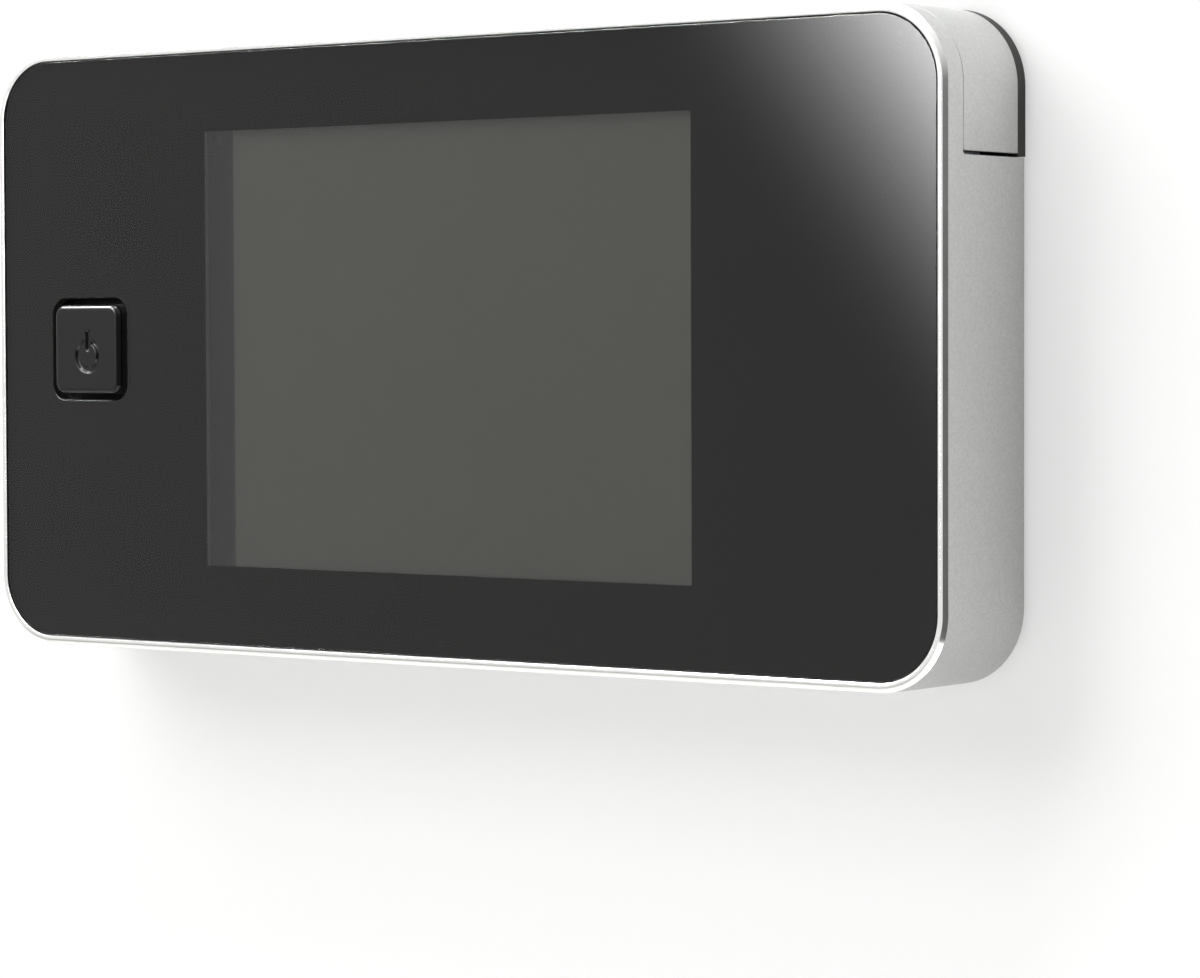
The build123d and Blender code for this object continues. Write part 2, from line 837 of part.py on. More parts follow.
contact_bridge = contact(
    [(left_cell_x - contact_half, right_cell_x + contact_half, strip_back, strip_front)],
    [left_cell_x, right_cell_x],
    -1,
)
contact_bridge.part.label = "contact_bridge"
export_step(contact_bridge.part, "parts/contact_bridge.step")

# Battery door: a rear panel that reaches the case's outer corner beside the cap and closes the gap below it, with
# a tongue on each side, and the silver cap that stands on it and closes the corner
with BuildPart() as battery_door:
    with BuildSketch(facing_room(case_back)):
        outline(0)
        upper_right_of(panel_left, panel_bottom, Mode.INTERSECT)
        with Locations((panel_right, cap_bottom - cap_gap + fit_gap)):
            Rectangle(case_width, case_height, align=(Align.MIN, Align.MAX), mode=Mode.SUBTRACT)
    extrude(amount=panel_thickness)
    with BuildSketch(facing_room(tongue_back)):
        with Locations((panel_left - tongue_reach, panel_bottom)):
            Rectangle(tongue_reach + tongue_root, left_tongue_length, align=(Align.MIN, Align.MIN))
        with Locations((panel_right - tongue_root, panel_bottom)):
            Rectangle(
                tongue_root + side_tongue_reach - fit_gap,
                cap_bottom - panel_bottom,
                align=(Align.MIN, Align.MIN),
            )
    extrude(amount=tongue_thickness)

battery_door.part.label = "battery_door"
export_step(battery_door.part, "parts/battery_door.step")

with BuildPart() as battery_door_cap:
    with BuildSketch(facing_room(panel_front)):
        outline(0)
        outline(cap_wall, Mode.SUBTRACT)
        upper_right_of(panel_left, cap_bottom, Mode.INTERSECT)
    extrude(amount=cap_depth)
    with BuildSketch(facing_room(panel_front)):
        outline(0)
        upper_right_of(bay_left + free_gap, case_top - cap_wall - cap_foot, Mode.INTERSECT)
    extrude(amount=cap_wall)
    cap_corner = Vertex(case_right, -cap_front, cap_bottom)
    fillet(battery_door_cap.edges().filter_by(Axis.X).sort_by_distance(cap_corner)[0], radius=cap_round)

battery_door_cap.part.label = "battery_door_cap"
export_step(battery_door_cap.part, "parts/battery_door_cap.step")

# Bracket of bent sheet: each hook is cut from the window below it, bent out and then up
with BuildPart() as mounting_bracket:
    with BuildSketch(facing_room(plate_back)):
        RectangleRounded(plate_width, plate_height, plate_corner)
        Circle(sleeve_radius + running_gap, mode=Mode.SUBTRACT)
        with GridLocations(2 * mount_hole_x, 0, 2, 1):
            Circle(mount_hole_radius, mode=Mode.SUBTRACT)
        for neck_top in (hook_upper_z, hook_lower_z):
            with Locations((0, neck_top + hook_bend - plate_thickness / 2 - hook_window_height / 2)):
                with GridLocations(2 * hook_x, 0, 2, 1):
                    Rectangle(hook_width + 2 * free_gap, hook_window_height, mode=Mode.SUBTRACT)
    extrude(amount=plate_thickness)
    for side in (-1, 1):
        with BuildSketch(Plane.YZ.offset(side * hook_x)):
            for neck_top in (hook_upper_z, hook_lower_z):
                neck_z = neck_top - plate_thickness / 2
                with BuildLine():
                    FilletPolyline(
                        (-plate_back - plate_thickness / 2, neck_top + hook_lip / 2),
                        (-plate_back - plate_thickness / 2, neck_z),
                        (-lip_back - plate_thickness / 2, neck_z),
                        (-lip_back - plate_thickness / 2, neck_top + hook_lip),
                        radius=hook_bend,
                    )
                trace(line_width=plate_thickness)
        extrude(amount=hook_width / 2, both=True)

mounting_bracket.part.label = "mounting_bracket"
export_step(mounting_bracket.part, "parts/mounting_bracket.step")

# Foam pad between the bracket and the door, holed for the tube and the screws
with BuildPart() as adhesive_pad:
    with BuildSketch(facing_room(0)):
        RectangleRounded(pad_width, pad_height, plate_corner)
        Circle(pad_hole_radius, mode=Mode.SUBTRACT)
        with GridLocations(2 * mount_hole_x, 0, 2, 1):
            Circle(pad_screw_radius, mode=Mode.SUBTRACT)
    extrude(amount=pad_thickness)

adhesive_pad.part.label = "adhesive_pad"
export_step(adhesive_pad.part, "parts/adhesive_pad.step")

# Sleeve: its flange clamps the bracket, and two notches in the flange take a key
with BuildPart() as mounting_sleeve:
    with BuildSketch(Plane.XY):
        with BuildLine():
            Polyline(
                (sleeve_bore, -flange_front),
                (sleeve_flange_radius, -flange_front),
                (sleeve_flange_radius, -plate_front),
                (sleeve_radius, -plate_front),
                (sleeve_radius, sleeve_end),
                (sleeve_bore, sleeve_end),
                close=True,
            )
        make_face()
    revolve(axis=Axis.Y)
    fillet(mounting_sleeve.faces().sort_by(Axis.Y)[0].edges().sort_by(SortBy.RADIUS)[-1], radius=sleeve_edge)
    with BuildSketch(facing_room(plate_front)):
        with GridLocations(2 * sleeve_flange_radius, 0, 2, 1):
            RectangleRounded(2 * sleeve_notch, sleeve_notch, sleeve_edge)
    extrude(amount=sleeve_flange, mode=Mode.SUBTRACT)

mounting_sleeve.part.label = "mounting_sleeve"
export_step(mounting_sleeve.part, "parts/mounting_sleeve.step")

# Outdoor tube with its round head, one turned piece
with BuildPart() as camera_barrel:
    with BuildSketch(Plane.XY):
        with BuildLine():
            Polyline(
                (barrel_bore, barrel_start),
                (barrel_radius, barrel_start),
                (barrel_radius, seal_front),
                (head_radius, seal_front),
                (head_radius, seal_front + head_rim),
                (head_face_radius, head_face),
                (dome_rim_radius + fit_gap, head_face),
                (dome_rim_radius + fit_gap, dome_back),
                (cell_bore, dome_back),
                (cell_bore, shoulder),
                (barrel_bore, shoulder),
                close=True,
            )
        make_face()
    revolve(axis=Axis.Y)
    rim_edge = Vertex(head_radius, seal_front + head_rim, 0)
    fillet(camera_barrel.edges().filter_by(GeomType.CIRCLE).sort_by_distance(rim_edge)[0], radius=head_round)

camera_barrel.part.label = "camera_barrel"
export_step(camera_barrel.part, "parts/camera_barrel.step")

with BuildPart() as barrel_gasket:
    with BuildSketch(facing_door(-door_thickness)):
        Circle(seal_outer_radius)
        Circle(seal_inner_radius, mode=Mode.SUBTRACT)
    extrude(amount=seal_thickness)

barrel_gasket.part.label = "barrel_gasket"
export_step(barrel_gasket.part, "parts/barrel_gasket.step")

# Dome lens: a hollow cap on a flat rim, in the head's recess
with BuildPart() as dome_lens:
    with BuildSketch(Plane.XY):
        with BuildLine():
            TangentArc((0, dome_tip), (dome_radius, dome_step), tangent=(1, 0))
            Polyline(
                (dome_radius, dome_step),
                (dome_rim_radius, dome_step),
                (dome_rim_radius, dome_foot),
                (cell_bore, dome_foot),
            )
            TangentArc((0, dome_tip - dome_thickness), (cell_bore, dome_foot), tangent=(1, 0))
            Line((0, dome_tip - dome_thickness), (0, dome_tip))
        make_face()
    revolve(axis=Axis.Y)

dome_lens.part.label = "dome_lens"
export_step(dome_lens.part, "parts/dome_lens.step")

# Bright ring that holds the dome lens down
with BuildPart() as lens_bezel:
    with BuildSketch(Plane.XY):
        with BuildLine():
            Polyline(
                (dome_radius + fit_gap, bezel_foot),
                (dome_rim_radius, bezel_foot),
                (dome_rim_radius, head_face),
                (dome_rim_radius + bezel_width, head_face),
                (dome_rim_radius + bezel_width, head_face + bezel_hook),
                (dome_rim_radius, head_face + bezel_height),
                (dome_radius + bezel_hook, head_face + bezel_height),
                (dome_radius + fit_gap, head_face + bezel_hook),
                close=True,
            )
        make_face()
    revolve(axis=Axis.Y)

lens_bezel.part.label = "lens_bezel"
export_step(lens_bezel.part, "parts/lens_bezel.step")

# Lens cell in the head's bore, with its two lenses
with BuildPart() as lens_cell:
    with BuildSketch(facing_door(-cell_start)):
        Circle(cell_bore - rest_gap)
        Circle(lens_radius + rest_gap, mode=Mode.SUBTRACT)
    extrude(amount=lens_cell_length)

lens_cell.part.label = "lens_cell"
export_step(lens_cell.part, "parts/lens_cell.step")

with BuildPart() as lens_elements:
    for middle in (first_lens, second_lens):
        with BuildSketch(Plane.XY):
            with BuildLine():
                outer = (0, middle + lens_half + lens_crown)
                inner = (0, middle - lens_half - lens_crown)
                TangentArc(outer, (lens_radius, middle + lens_half), tangent=(1, 0))
                Line((lens_radius, middle + lens_half), (lens_radius, middle - lens_half))
                TangentArc(inner, (lens_radius, middle - lens_half), tangent=(1, 0))
                Line(inner, outer)
            make_face()
        revolve(axis=Axis.Y)

lens_elements.part.label = "lens_elements"
export_step(lens_elements.part, "parts/lens_elements.step")

# Round board seated on the head's shoulder, and the sensor on it behind the lenses
with BuildPart() as sensor_board:
    with BuildSketch(facing_door(sensor_board_thickness - shoulder)):
        Circle(barrel_bore - fit_gap)
    extrude(amount=sensor_board_thickness)

sensor_board.part.label = "sensor_board"
export_step(sensor_board.part, "parts/sensor_board.step")

with BuildPart() as image_sensor:
    with BuildSketch(facing_door(-shoulder)):
        Rectangle(sensor_size, sensor_size)
    extrude(amount=sensor_thickness)

image_sensor.part.label = "image_sensor"
export_step(image_sensor.part, "parts/image_sensor.step")

# Flat cable from the plug through the sleeve to the sensor's board
with BuildPart() as ribbon_cable:
    with BuildSketch(Plane.YZ):
        with BuildLine():
            FilletPolyline(
                (-plug_back, socket_z),
                (-plate_back, socket_z),
                (barrel_start + ribbon_rise, 0),
                (shoulder - sensor_board_thickness, 0),
                radius=ribbon_radius,
            )
        trace(line_width=ribbon_thickness)
    extrude(amount=ribbon_width / 2, both=True)

ribbon_cable.part.label = "ribbon_cable"
export_step(ribbon_cable.part, "parts/ribbon_cable.step")
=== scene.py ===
import math

import bmesh
import bpy
import numpy as np
from mathutils import Matrix, Vector


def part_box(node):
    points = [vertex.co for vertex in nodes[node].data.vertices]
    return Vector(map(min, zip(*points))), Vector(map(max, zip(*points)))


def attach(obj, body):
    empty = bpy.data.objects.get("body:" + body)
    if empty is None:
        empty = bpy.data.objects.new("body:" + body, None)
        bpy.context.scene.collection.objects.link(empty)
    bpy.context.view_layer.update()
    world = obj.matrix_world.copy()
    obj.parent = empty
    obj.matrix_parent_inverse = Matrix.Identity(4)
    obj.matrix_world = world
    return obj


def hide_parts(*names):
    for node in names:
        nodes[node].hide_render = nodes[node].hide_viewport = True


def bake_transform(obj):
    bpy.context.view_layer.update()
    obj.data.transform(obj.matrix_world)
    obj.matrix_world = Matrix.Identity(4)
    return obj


# a peephole door camera; X runs right, Y into the door and Z up, in metres from the peephole's middle at
# the door's inner face
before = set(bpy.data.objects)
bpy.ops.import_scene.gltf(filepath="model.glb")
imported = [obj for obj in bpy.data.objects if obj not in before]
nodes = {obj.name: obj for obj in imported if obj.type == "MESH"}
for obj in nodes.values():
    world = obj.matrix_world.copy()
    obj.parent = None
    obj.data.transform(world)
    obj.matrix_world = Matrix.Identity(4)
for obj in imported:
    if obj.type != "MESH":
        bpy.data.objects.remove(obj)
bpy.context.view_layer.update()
mm = 0.001
fullTurn, quarterTurn = 2 * math.pi, math.pi / 2
print("frame loaded with", len(nodes), "nodes")

# ---- camera ----

# place in millimetres, turns in degrees: yaw swings the view to the left, the lens is for a 36 mm wide
# sensor; near and far are the limits of sight in metres
cameraSet = {"place": (279.4, -352.3, 1.4), "yaw": 37.30, "pitch": -2.15, "roll": 0.20, "lens": 123.0,
             "near": 0.01, "far": 30.0}

cameraData = bpy.data.cameras.new("camera")
cameraData.lens = cameraSet["lens"]
cameraData.clip_start = cameraSet["near"]
cameraData.clip_end = cameraSet["far"]
camera = bpy.data.objects.new("camera", cameraData)
bpy.context.scene.collection.objects.link(camera)
camera.matrix_world = Matrix.Translation(Vector(cameraSet["place"]) * mm)
for name, axis in (("yaw", "Z"), ("pitch", "X"), ("roll", "Y")):
    camera.matrix_world = camera.matrix_world @ Matrix.Rotation(math.radians(cameraSet[name]), 4, axis)
camera.matrix_world = camera.matrix_world @ Matrix.Rotation(quarterTurn, 4, "X")
bpy.context.scene.camera = camera
bpy.context.scene.view_settings.view_transform = "Standard"

# ---- node helpers ----


def linear(hexColour):
    # sRGB hex to linear: below 0.04045 a straight line, above it ((v + 0.055) / 1.055) to the power 2.4
    parts = [int(hexColour[i : i + 2], 16) / 255 for i in (1, 3, 5)]
    return tuple(v / 12.92 if v <= 0.04045 else ((v + 0.055) / 1.055) ** 2.4 for v in parts) + (1.0,)


def addNode(tree, kind, sockets=(), **settings):
    # one node of that kind: its settings, then its inputs, each a value or another node's output
    node = tree.nodes.new("ShaderNode" + kind)
    for name, value in settings.items():
        setattr(node, name, value)
    for key, value in dict(sockets).items():
        if isinstance(value, bpy.types.NodeSocket):
            tree.links.new(value, node.inputs[key])
        else:
            node.inputs[key].default_value = value
    return node


def calc(tree, operation, *values, clamp=False):
    # one step of arithmetic on numbers and outputs
    return addNode(tree, "Math", dict(enumerate(values)), operation=operation, use_clamp=clamp).outputs[0]


def mapped(tree, value, fromLow, fromHigh, toLow=0.0, toHigh=1.0, **settings):
    # a value's place between two limits, carried over to two others
    sockets = {0: value, "From Min": fromLow, "From Max": fromHigh, "To Min": toLow, "To Max": toHigh}
    return addNode(tree, "MapRange", sockets, **settings).outputs[0]


def mixed(tree, factor, low, high, kind="FLOAT"):
    # low where the factor is 0 and high where it is 1
    return addNode(tree, "Mix", {"Factor": factor, "A": low, "B": high}, data_type=kind).outputs["Result"]


def placeAlong(tree, axis, kind="Object"):
    # one coordinate of the point that is shaded
    coordinate = addNode(tree, "TexCoord")
    return addNode(tree, "SeparateXYZ", {0: coordinate.outputs[kind]}).outputs[axis]


def blankMaterial(name):
    material = bpy.data.materials.new(name)
    material.use_nodes = True
    material.node_tree.nodes.clear()
    return material, material.node_tree


def closeMaterial(tree, surface):
    addNode(tree, "OutputMaterial", {"Surface": surface})


# ---- mesh helpers ----


def meshObject(name, vertices, faces, smooth=True):
    mesh = bpy.data.meshes.new(name)
    mesh.from_pydata(np.asarray(vertices, float).tolist(), [], [list(map(int, f)) for f in faces])
    mesh.update()
    if smooth:
        mesh.polygons.foreach_set("use_smooth", np.ones(len(mesh.polygons), bool))
    obj = bpy.data.objects.new(name, mesh)
    bpy.context.scene.collection.objects.link(obj)
    return obj


def cardObject(name, corners, material):
    # one flat face
    obj = meshObject(name, corners, [range(len(corners))], smooth=False)
    obj.data.materials.append(material)
    return obj


def ringFaces(rows, columns):
    # quads between neighbouring rings of a grid whose columns close on themselves
    i, j = np.meshgrid(np.arange(rows - 1), np.arange(columns), indexing="ij")
    k = (j + 1) % columns
    corners = [i * columns + j, i * columns + k, (i + 1) * columns + k, (i + 1) * columns + j]
    return np.stack(corners, -1).reshape(-1, 4)


def ringMesh(name, rings, startPole=None, endPole=None, closed=False):
    # rings is an array (rows, columns, 3) of closed loops; a pole closes an end, closed joins the last
    # to the first
    rings = np.asarray(rings, float)
    rows, columns = rings.shape[:2]
    vertices = rings.reshape(-1, 3)
    faces = ringFaces(rows, columns).tolist()
    j = np.arange(columns)
    k = (j + 1) % columns
    if closed:
        last = (rows - 1) * columns
        faces += np.stack([last + j, last + k, k, j], -1).tolist()
    for pole, base in ((startPole, 0), (endPole, (rows - 1) * columns)):
        if pole is not None:
            tip = np.full(columns, len(vertices))
            vertices = np.vstack([vertices, pole])
            faces += np.stack([base + j, base + k, tip], -1).tolist()
    obj = meshObject(name, vertices, faces)
    work = bmesh.new()
    work.from_mesh(obj.data)
    bmesh.ops.recalc_face_normals(work, faces=work.faces)
    work.to_mesh(obj.data)
    work.free()
    return obj


def roundedSquare(halfWidth, halfHeight, corner, perSide, perCorner):
    # a rectangle with round corners, walked once from the middle of the right side; points lie evenly
    # on each side and arc
    arc = np.linspace(0, quarterTurn, perCorner)
    points = []
    for turn, (sx, sz) in enumerate(((1, 1), (-1, 1), (-1, -1), (1, -1))):
        centre = np.array([sx * (halfWidth - corner), sz * (halfHeight - corner)])
        angle = arc + turn * quarterTurn
        points.append(centre + corner * np.stack([np.cos(angle), np.sin(angle)], -1))
    outline = []
    for here, after in zip(points, points[1:] + points[:1]):
        steps = np.linspace(0, 1, perSide + 2)[1:-1, None]
        outline += [here, here[-1] + (after[0] - here[-1]) * steps]
    return np.vstack(outline)


def flatRing(outline, y):
    # an outline of (x, z) points at depth y
    return np.column_stack([outline[:, 0], np.full(len(outline), y), outline[:, 1]])


def aboutAxis(radius, y, angle, x=0.0, z=0.0):
    # points round an axis that runs along Y, from millimetres to metres
    return np.stack([x + radius * np.cos(angle), y + 0 * angle, z + radius * np.sin(angle)], -1) * mm


# ---- room ----

# white wall at the door's face with a hole behind the case, and a pale floor far below; sizes in
# millimetres, ownWhite is the share of pure white in what the camera sees of the wall
roomSet = {"wall": "#efefee", "floor": "#efefed", "white": "#ffffff", "reach": 2500.0, "floorDrop": 700.0,
           "floorRight": 330.0, "holeInset": 4.0, "holeCorner": 4.0, "holeSteps": 6, "ownWhite": 0.45}

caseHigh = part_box("case_shell")[1]
wallMaterial, tree = blankMaterial("whiteWall")
geometry = addNode(tree, "NewGeometry")
path = addNode(tree, "LightPath")
paint = addNode(tree, "BsdfDiffuse", {"Color": linear(roomSet["wall"])})
white = addNode(tree, "Emission", {"Color": linear(roomSet["white"]), "Strength": 1.0})
share = calc(tree, "MULTIPLY", path.outputs["Is Camera Ray"], roomSet["ownWhite"])
front = addNode(tree, "MixShader", {0: share, 1: paint.outputs[0], 2: white.outputs[0]})
clear = addNode(tree, "BsdfTransparent")
behind = geometry.outputs["Backfacing"]
sides = addNode(tree, "MixShader", {0: behind, 1: front.outputs[0], 2: clear.outputs[0]})
closeMaterial(tree, sides.outputs[0])

inset, reach = roomSet["holeInset"] * mm, roomSet["reach"] * mm
half = np.array([caseHigh.x, caseHigh.z])
hole = roundedSquare(*(half - inset), roomSet["holeCorner"] * mm, roomSet["holeSteps"], roomSet["holeSteps"])
wallEdge = hole / np.abs(hole / half).max(1, keepdims=True) / half * reach
wallRings = np.vstack([flatRing(hole, 0), flatRing(wallEdge, 0)])
wall = meshObject("wall", wallRings, ringFaces(2, len(hole)), smooth=False)
if wall.data.polygons[0].normal.y > 0:
    wall.data.flip_normals()
wall.data.materials.append(wallMaterial)

floorMaterial, tree = blankMaterial("paleFloor")
paint = addNode(tree, "BsdfDiffuse", {"Color": linear(roomSet["floor"])})
closeMaterial(tree, paint.outputs[0])
drop, right = -roomSet["floorDrop"] * mm, roomSet["floorRight"] * mm
floorCorners = [(-reach, -reach, drop), (right, -reach, drop), (right, reach, drop), (-reach, reach, drop)]
floor = cardObject("floor", floorCorners, floorMaterial)

# ---- light ----

# places in metres from the origin, sizes in metres, power in watts; edgeLight is a small lamp that only
# draws lines of gloss on round edges
lamps = {
    "keyLight": {"place": (-0.8, -0.95, 0.9), "size": 1.1, "watts": 22.0, "diffuse": True},
    "topLight": {"place": (-0.08, -0.35, 1.1), "size": 0.36, "watts": 6.8, "diffuse": True},
    "lowLight": {"place": (0.4, -0.4, -0.6), "size": 0.5, "watts": 1.6, "diffuse": True},
    "edgeLight": {"place": (-0.92, -0.5, 0.78), "size": 0.28, "watts": 14.0, "diffuse": False},
}
for name, lamp in lamps.items():
    data = bpy.data.lights.new(name, "AREA")
    data.shape = "SQUARE"
    data.size = lamp["size"]
    data.energy = lamp["watts"]
    obj = bpy.data.objects.new(name, data)
    place = Vector(lamp["place"])
    obj.matrix_world = Matrix.Translation(place) @ (-place).to_track_quat("-Z", "Y").to_matrix().to_4x4()
    bpy.context.scene.collection.objects.link(obj)
    obj.visible_transmission = False  # glass already lets this light through to what lies behind it
    obj.visible_diffuse = lamp["diffuse"]

# soft card that the front plate mirrors in its upper right corner: brightness grows as a power of the
# distance past a slanted line, in metres on the card's plane
cardSet = {"y": -1.5, "low": (-1.7, -0.5), "high": (-0.86, 1.2), "slopeX": 6.83, "slopeZ": 5.305,
           "start": 6.63, "power": 3.44, "gain": 7.0, "most": 26.0}
cardMaterial, tree = blankMaterial("softCard")
alongX = calc(tree, "MULTIPLY_ADD", placeAlong(tree, "X"), cardSet["slopeX"], cardSet["start"])
past = calc(tree, "MULTIPLY_ADD", placeAlong(tree, "Z"), cardSet["slopeZ"], alongX)
raised = calc(tree, "POWER", calc(tree, "MAXIMUM", past, 0.0), cardSet["power"])
glow = calc(tree, "MINIMUM", calc(tree, "MULTIPLY", raised, cardSet["gain"]), cardSet["most"])
shine = addNode(tree, "Emission", {"Color": linear(roomSet["white"]), "Strength": glow})
clear = addNode(tree, "BsdfTransparent")
closeMaterial(tree, addNode(tree, "AddShader", {0: shine.outputs[0], 1: clear.outputs[0]}).outputs[0])
(x0, z0), (x1, z1) = cardSet["low"], cardSet["high"]
depth = cardSet["y"]
cardCorners = [(x0, depth, z0), (x1, depth, z0), (x1, depth, z1), (x0, depth, z1)]
card = cardObject("softCard", cardCorners, cardMaterial)
card.visible_camera = card.visible_diffuse = card.visible_shadow = card.visible_transmission = False

# the room as the world: grey for soft fill, brighter in gloss, darker to the right, white to the
# camera, also through clear glass; light that has met a plain or a shiny surface keeps its own level on
# its way out through glass. leftEnd, rightEnd and upEnd are parts of the unit direction in which the
# gloss changes
worldSet = {"fill": 0.42, "gloss": 0.84, "right": 0.12, "up": 1.1, "leftEnd": -0.2, "rightEnd": 0.05,
            "upEnd": 0.8}
world = bpy.data.worlds.new("room")
bpy.context.scene.world = world
world.use_nodes = True
tree = world.node_tree
tree.nodes.clear()
path = addNode(tree, "LightPath")
toRight = mapped(tree, placeAlong(tree, "X", "Generated"), worldSet["leftEnd"], worldSet["rightEnd"],
                 worldSet["gloss"], worldSet["right"], interpolation_type="SMOOTHSTEP")
upward = mapped(tree, placeAlong(tree, "Z", "Generated"), 0.0, worldSet["upEnd"])
glossLevel = mixed(tree, upward, toRight, worldSet["up"])
diffused = calc(tree, "MINIMUM", path.outputs["Diffuse Depth"], 1.0)
mirrored = calc(tree, "MINIMUM", path.outputs["Glossy Depth"], 1.0)
through = calc(tree, "SUBTRACT", path.outputs["Is Transmission Ray"], diffused, clamp=True)
throughMirrored = calc(tree, "MULTIPLY", through, mirrored)
throughStraight = calc(tree, "SUBTRACT", through, mirrored, clamp=True)
glossy = calc(tree, "MAXIMUM", path.outputs["Is Glossy Ray"], throughMirrored)
straight = calc(tree, "MAXIMUM", path.outputs["Is Camera Ray"], throughStraight)
level = mixed(tree, straight, mixed(tree, glossy, worldSet["fill"], glossLevel), 1.0)
backdrop = addNode(tree, "Background", {"Color": linear(roomSet["white"]), "Strength": level})
addNode(tree, "OutputWorld", {"Surface": backdrop.outputs[0]})
print("camera, room and light placed")

# ---- materials ----

# the middle part of a noise pattern's range, in which nearly all of it lies
noiseSet = {"low": 0.3, "high": 0.7}
plainWords = {"colour": "Base Color", "metal": "Metallic", "rough": "Roughness", "ior": "IOR",
              "normal": "Normal", "clear": "Transmission Weight", "shine": "Specular IOR Level"}


def grain(tree, size, detail=2.0):
    # a noise pattern on Object coordinates whose cells are size millimetres
    coordinate = addNode(tree, "TexCoord")
    sockets = {"Vector": coordinate.outputs["Object"], "Scale": 1 / (size * mm), "Detail": detail}
    return addNode(tree, "TexNoise", sockets).outputs[0]


def between(tree, pattern, low, high):
    # a number that follows a noise pattern
    return mapped(tree, pattern, noiseSet["low"], noiseSet["high"], low, high)


def tinted(tree, pattern, dark, light):
    # a colour that follows a 0 to 1 pattern
    return mixed(tree, pattern, linear(dark), linear(light), "RGBA")


def bumped(tree, height, depth):
    # a normal from a height pattern, depth in millimetres
    return addNode(tree, "Bump", {"Height": height, "Strength": 1.0, "Distance": depth * mm}).outputs[0]


def surface(tree, **sockets):
    # one Principled shader, its sockets given in plain words and its plain colours as hex
    named = {plainWords[k]: (linear(v) if isinstance(v, str) else v) for k, v in sockets.items()}
    return addNode(tree, "BsdfPrincipled", named).outputs[0]


# clear solids: colour, index of refraction, and the colour of the lamps' light that falls through. The
# plate is polished cast acrylic, the lenses are optical glass with a faint green cast
clearSolids = {"clearAcrylic": ("#fbfbfb", 1.41, "#f4f4f4"), "opticalGlass": ("#f3faf7", 1.52, "#eef6f2")}


def clearSolid(tree, colour, ior, shade):
    solid = surface(tree, colour=colour, rough=0.0, ior=ior, clear=1.0)
    path = addNode(tree, "LightPath")
    through = addNode(tree, "BsdfTransparent", {"Color": linear(shade)})
    pane = addNode(tree, "MixShader", {0: path.outputs["Is Shadow Ray"], 1: solid, 2: through.outputs[0]})
    return pane.outputs[0]


# black screen print bonded to the plate's back: flat, deep, a little warm, with no shine of its own
# under acrylic
filmSet = {"speck": 0.4, "dark": "#0d0c0b", "light": "#121110", "rough": 0.45}


def blackPrint(tree):
    s = filmSet
    colour = tinted(tree, grain(tree, s["speck"]), s["dark"], s["light"])
    return surface(tree, colour=colour, rough=s["rough"], shine=0.0)


# chromium plating on moulded plastic: bright, nearly a mirror, with faint moulding waves
platingSet = {"colour": "#f4f4f2", "wave": 3.0, "detail": 1.0, "rough": (0.12, 0.18), "depth": 0.004}


def platedRing(tree):
    s = platingSet
    wave = grain(tree, s["wave"], s["detail"])
    return surface(tree, colour=s["colour"], metal=1.0, rough=between(tree, wave, *s["rough"]),
                   normal=bumped(tree, wave, s["depth"]))


# silver metallic paint on dark moulded plastic: satin, with flake of about 0.1 mm drawn at 0.22 mm so
# that it shows; the spray reaches the case's outer wall alone, a rounded box whose skin is depth
# millimetres thick; within it the unpainted plastic is dark, partly its own colour and partly painted
# shade that keeps the gaps behind the plate black; farY is more metres than any point has of Y, so
# that X and Z alone count
paintSet = {"flake": 0.22, "flakeDetail": 3.0, "peel": 1.6, "depth": 0.5, "soft": 0.1, "corner": 8.0,
            "bareAndShade": "#161616", "dark": "#b6b8b7", "light": "#dcdcdb", "metal": 0.75, "rough": (0.40, 0.47),
            "bump": 0.006, "farY": 1.0}


def silverPaint(tree):
    # the distance from the rounded box's inner corner lines: the length of what |place| lies past them
    s = paintSet
    flake = grain(tree, s["flake"], s["flakeDetail"])
    peel = grain(tree, s["peel"])
    coordinate = addNode(tree, "TexCoord")
    away = addNode(tree, "VectorMath", {0: coordinate.outputs["Object"]}, operation="ABSOLUTE")
    corner = s["corner"] * mm
    start = (caseHigh.x - corner, s["farY"], caseHigh.z - corner)
    past = addNode(tree, "VectorMath", {0: away.outputs[0], 1: start}, operation="SUBTRACT")
    kept = addNode(tree, "VectorMath", {0: past.outputs[0], 1: (0, 0, 0)}, operation="MAXIMUM")
    length = addNode(tree, "VectorMath", {0: kept.outputs[0]}, operation="LENGTH")
    inner = corner - s["depth"] * mm
    skin = mapped(tree, length.outputs["Value"], inner, inner + s["soft"] * mm)
    # inside the paint's skin: dark unpainted plastic, partly its own colour and partly painted shade of the
    # gaps behind the plate
    colour = mixed(tree, skin, linear(s["bareAndShade"]), tinted(tree, flake, s["dark"], s["light"]), "RGBA")
    return surface(tree, colour=colour, metal=calc(tree, "MULTIPLY", skin, s["metal"]),
                   rough=between(tree, peel, *s["rough"]), normal=bumped(tree, flake, s["bump"]))


# ABS with a spark-eroded mould texture: dark grey, matt, grain of about 0.3 mm
sparkSet = {"spark": 0.3, "sparkDetail": 4.0, "cloud": 9.0, "dark": "#222321", "light": "#2b2c29",
            "rough": (0.55, 0.66), "bump": 0.02}


def texturedPlastic(tree):
    s = sparkSet
    spark = grain(tree, s["spark"], s["sparkDetail"])
    cloud = grain(tree, s["cloud"])
    return surface(tree, colour=tinted(tree, cloud, s["dark"], s["light"]),
                   rough=between(tree, cloud, *s["rough"]), normal=bumped(tree, spark, s["bump"]))


# black ABS, moulded: the face is polished to a soft shine, the sides and the flange are as the tool
# left them, matt, and their colour is darker than the face as painted shade of the gap round the button;
# face is the height off the door in millimetres where the polish ends
capSet = {"face": 15.1, "soft": 0.15, "haze": 0.25, "hazeDetail": 3.0, "dark": "#0a0a0a", "light": "#121212",
          "side": "#040404", "rough": (0.12, 0.19), "sideRough": 0.9, "shine": 0.33}


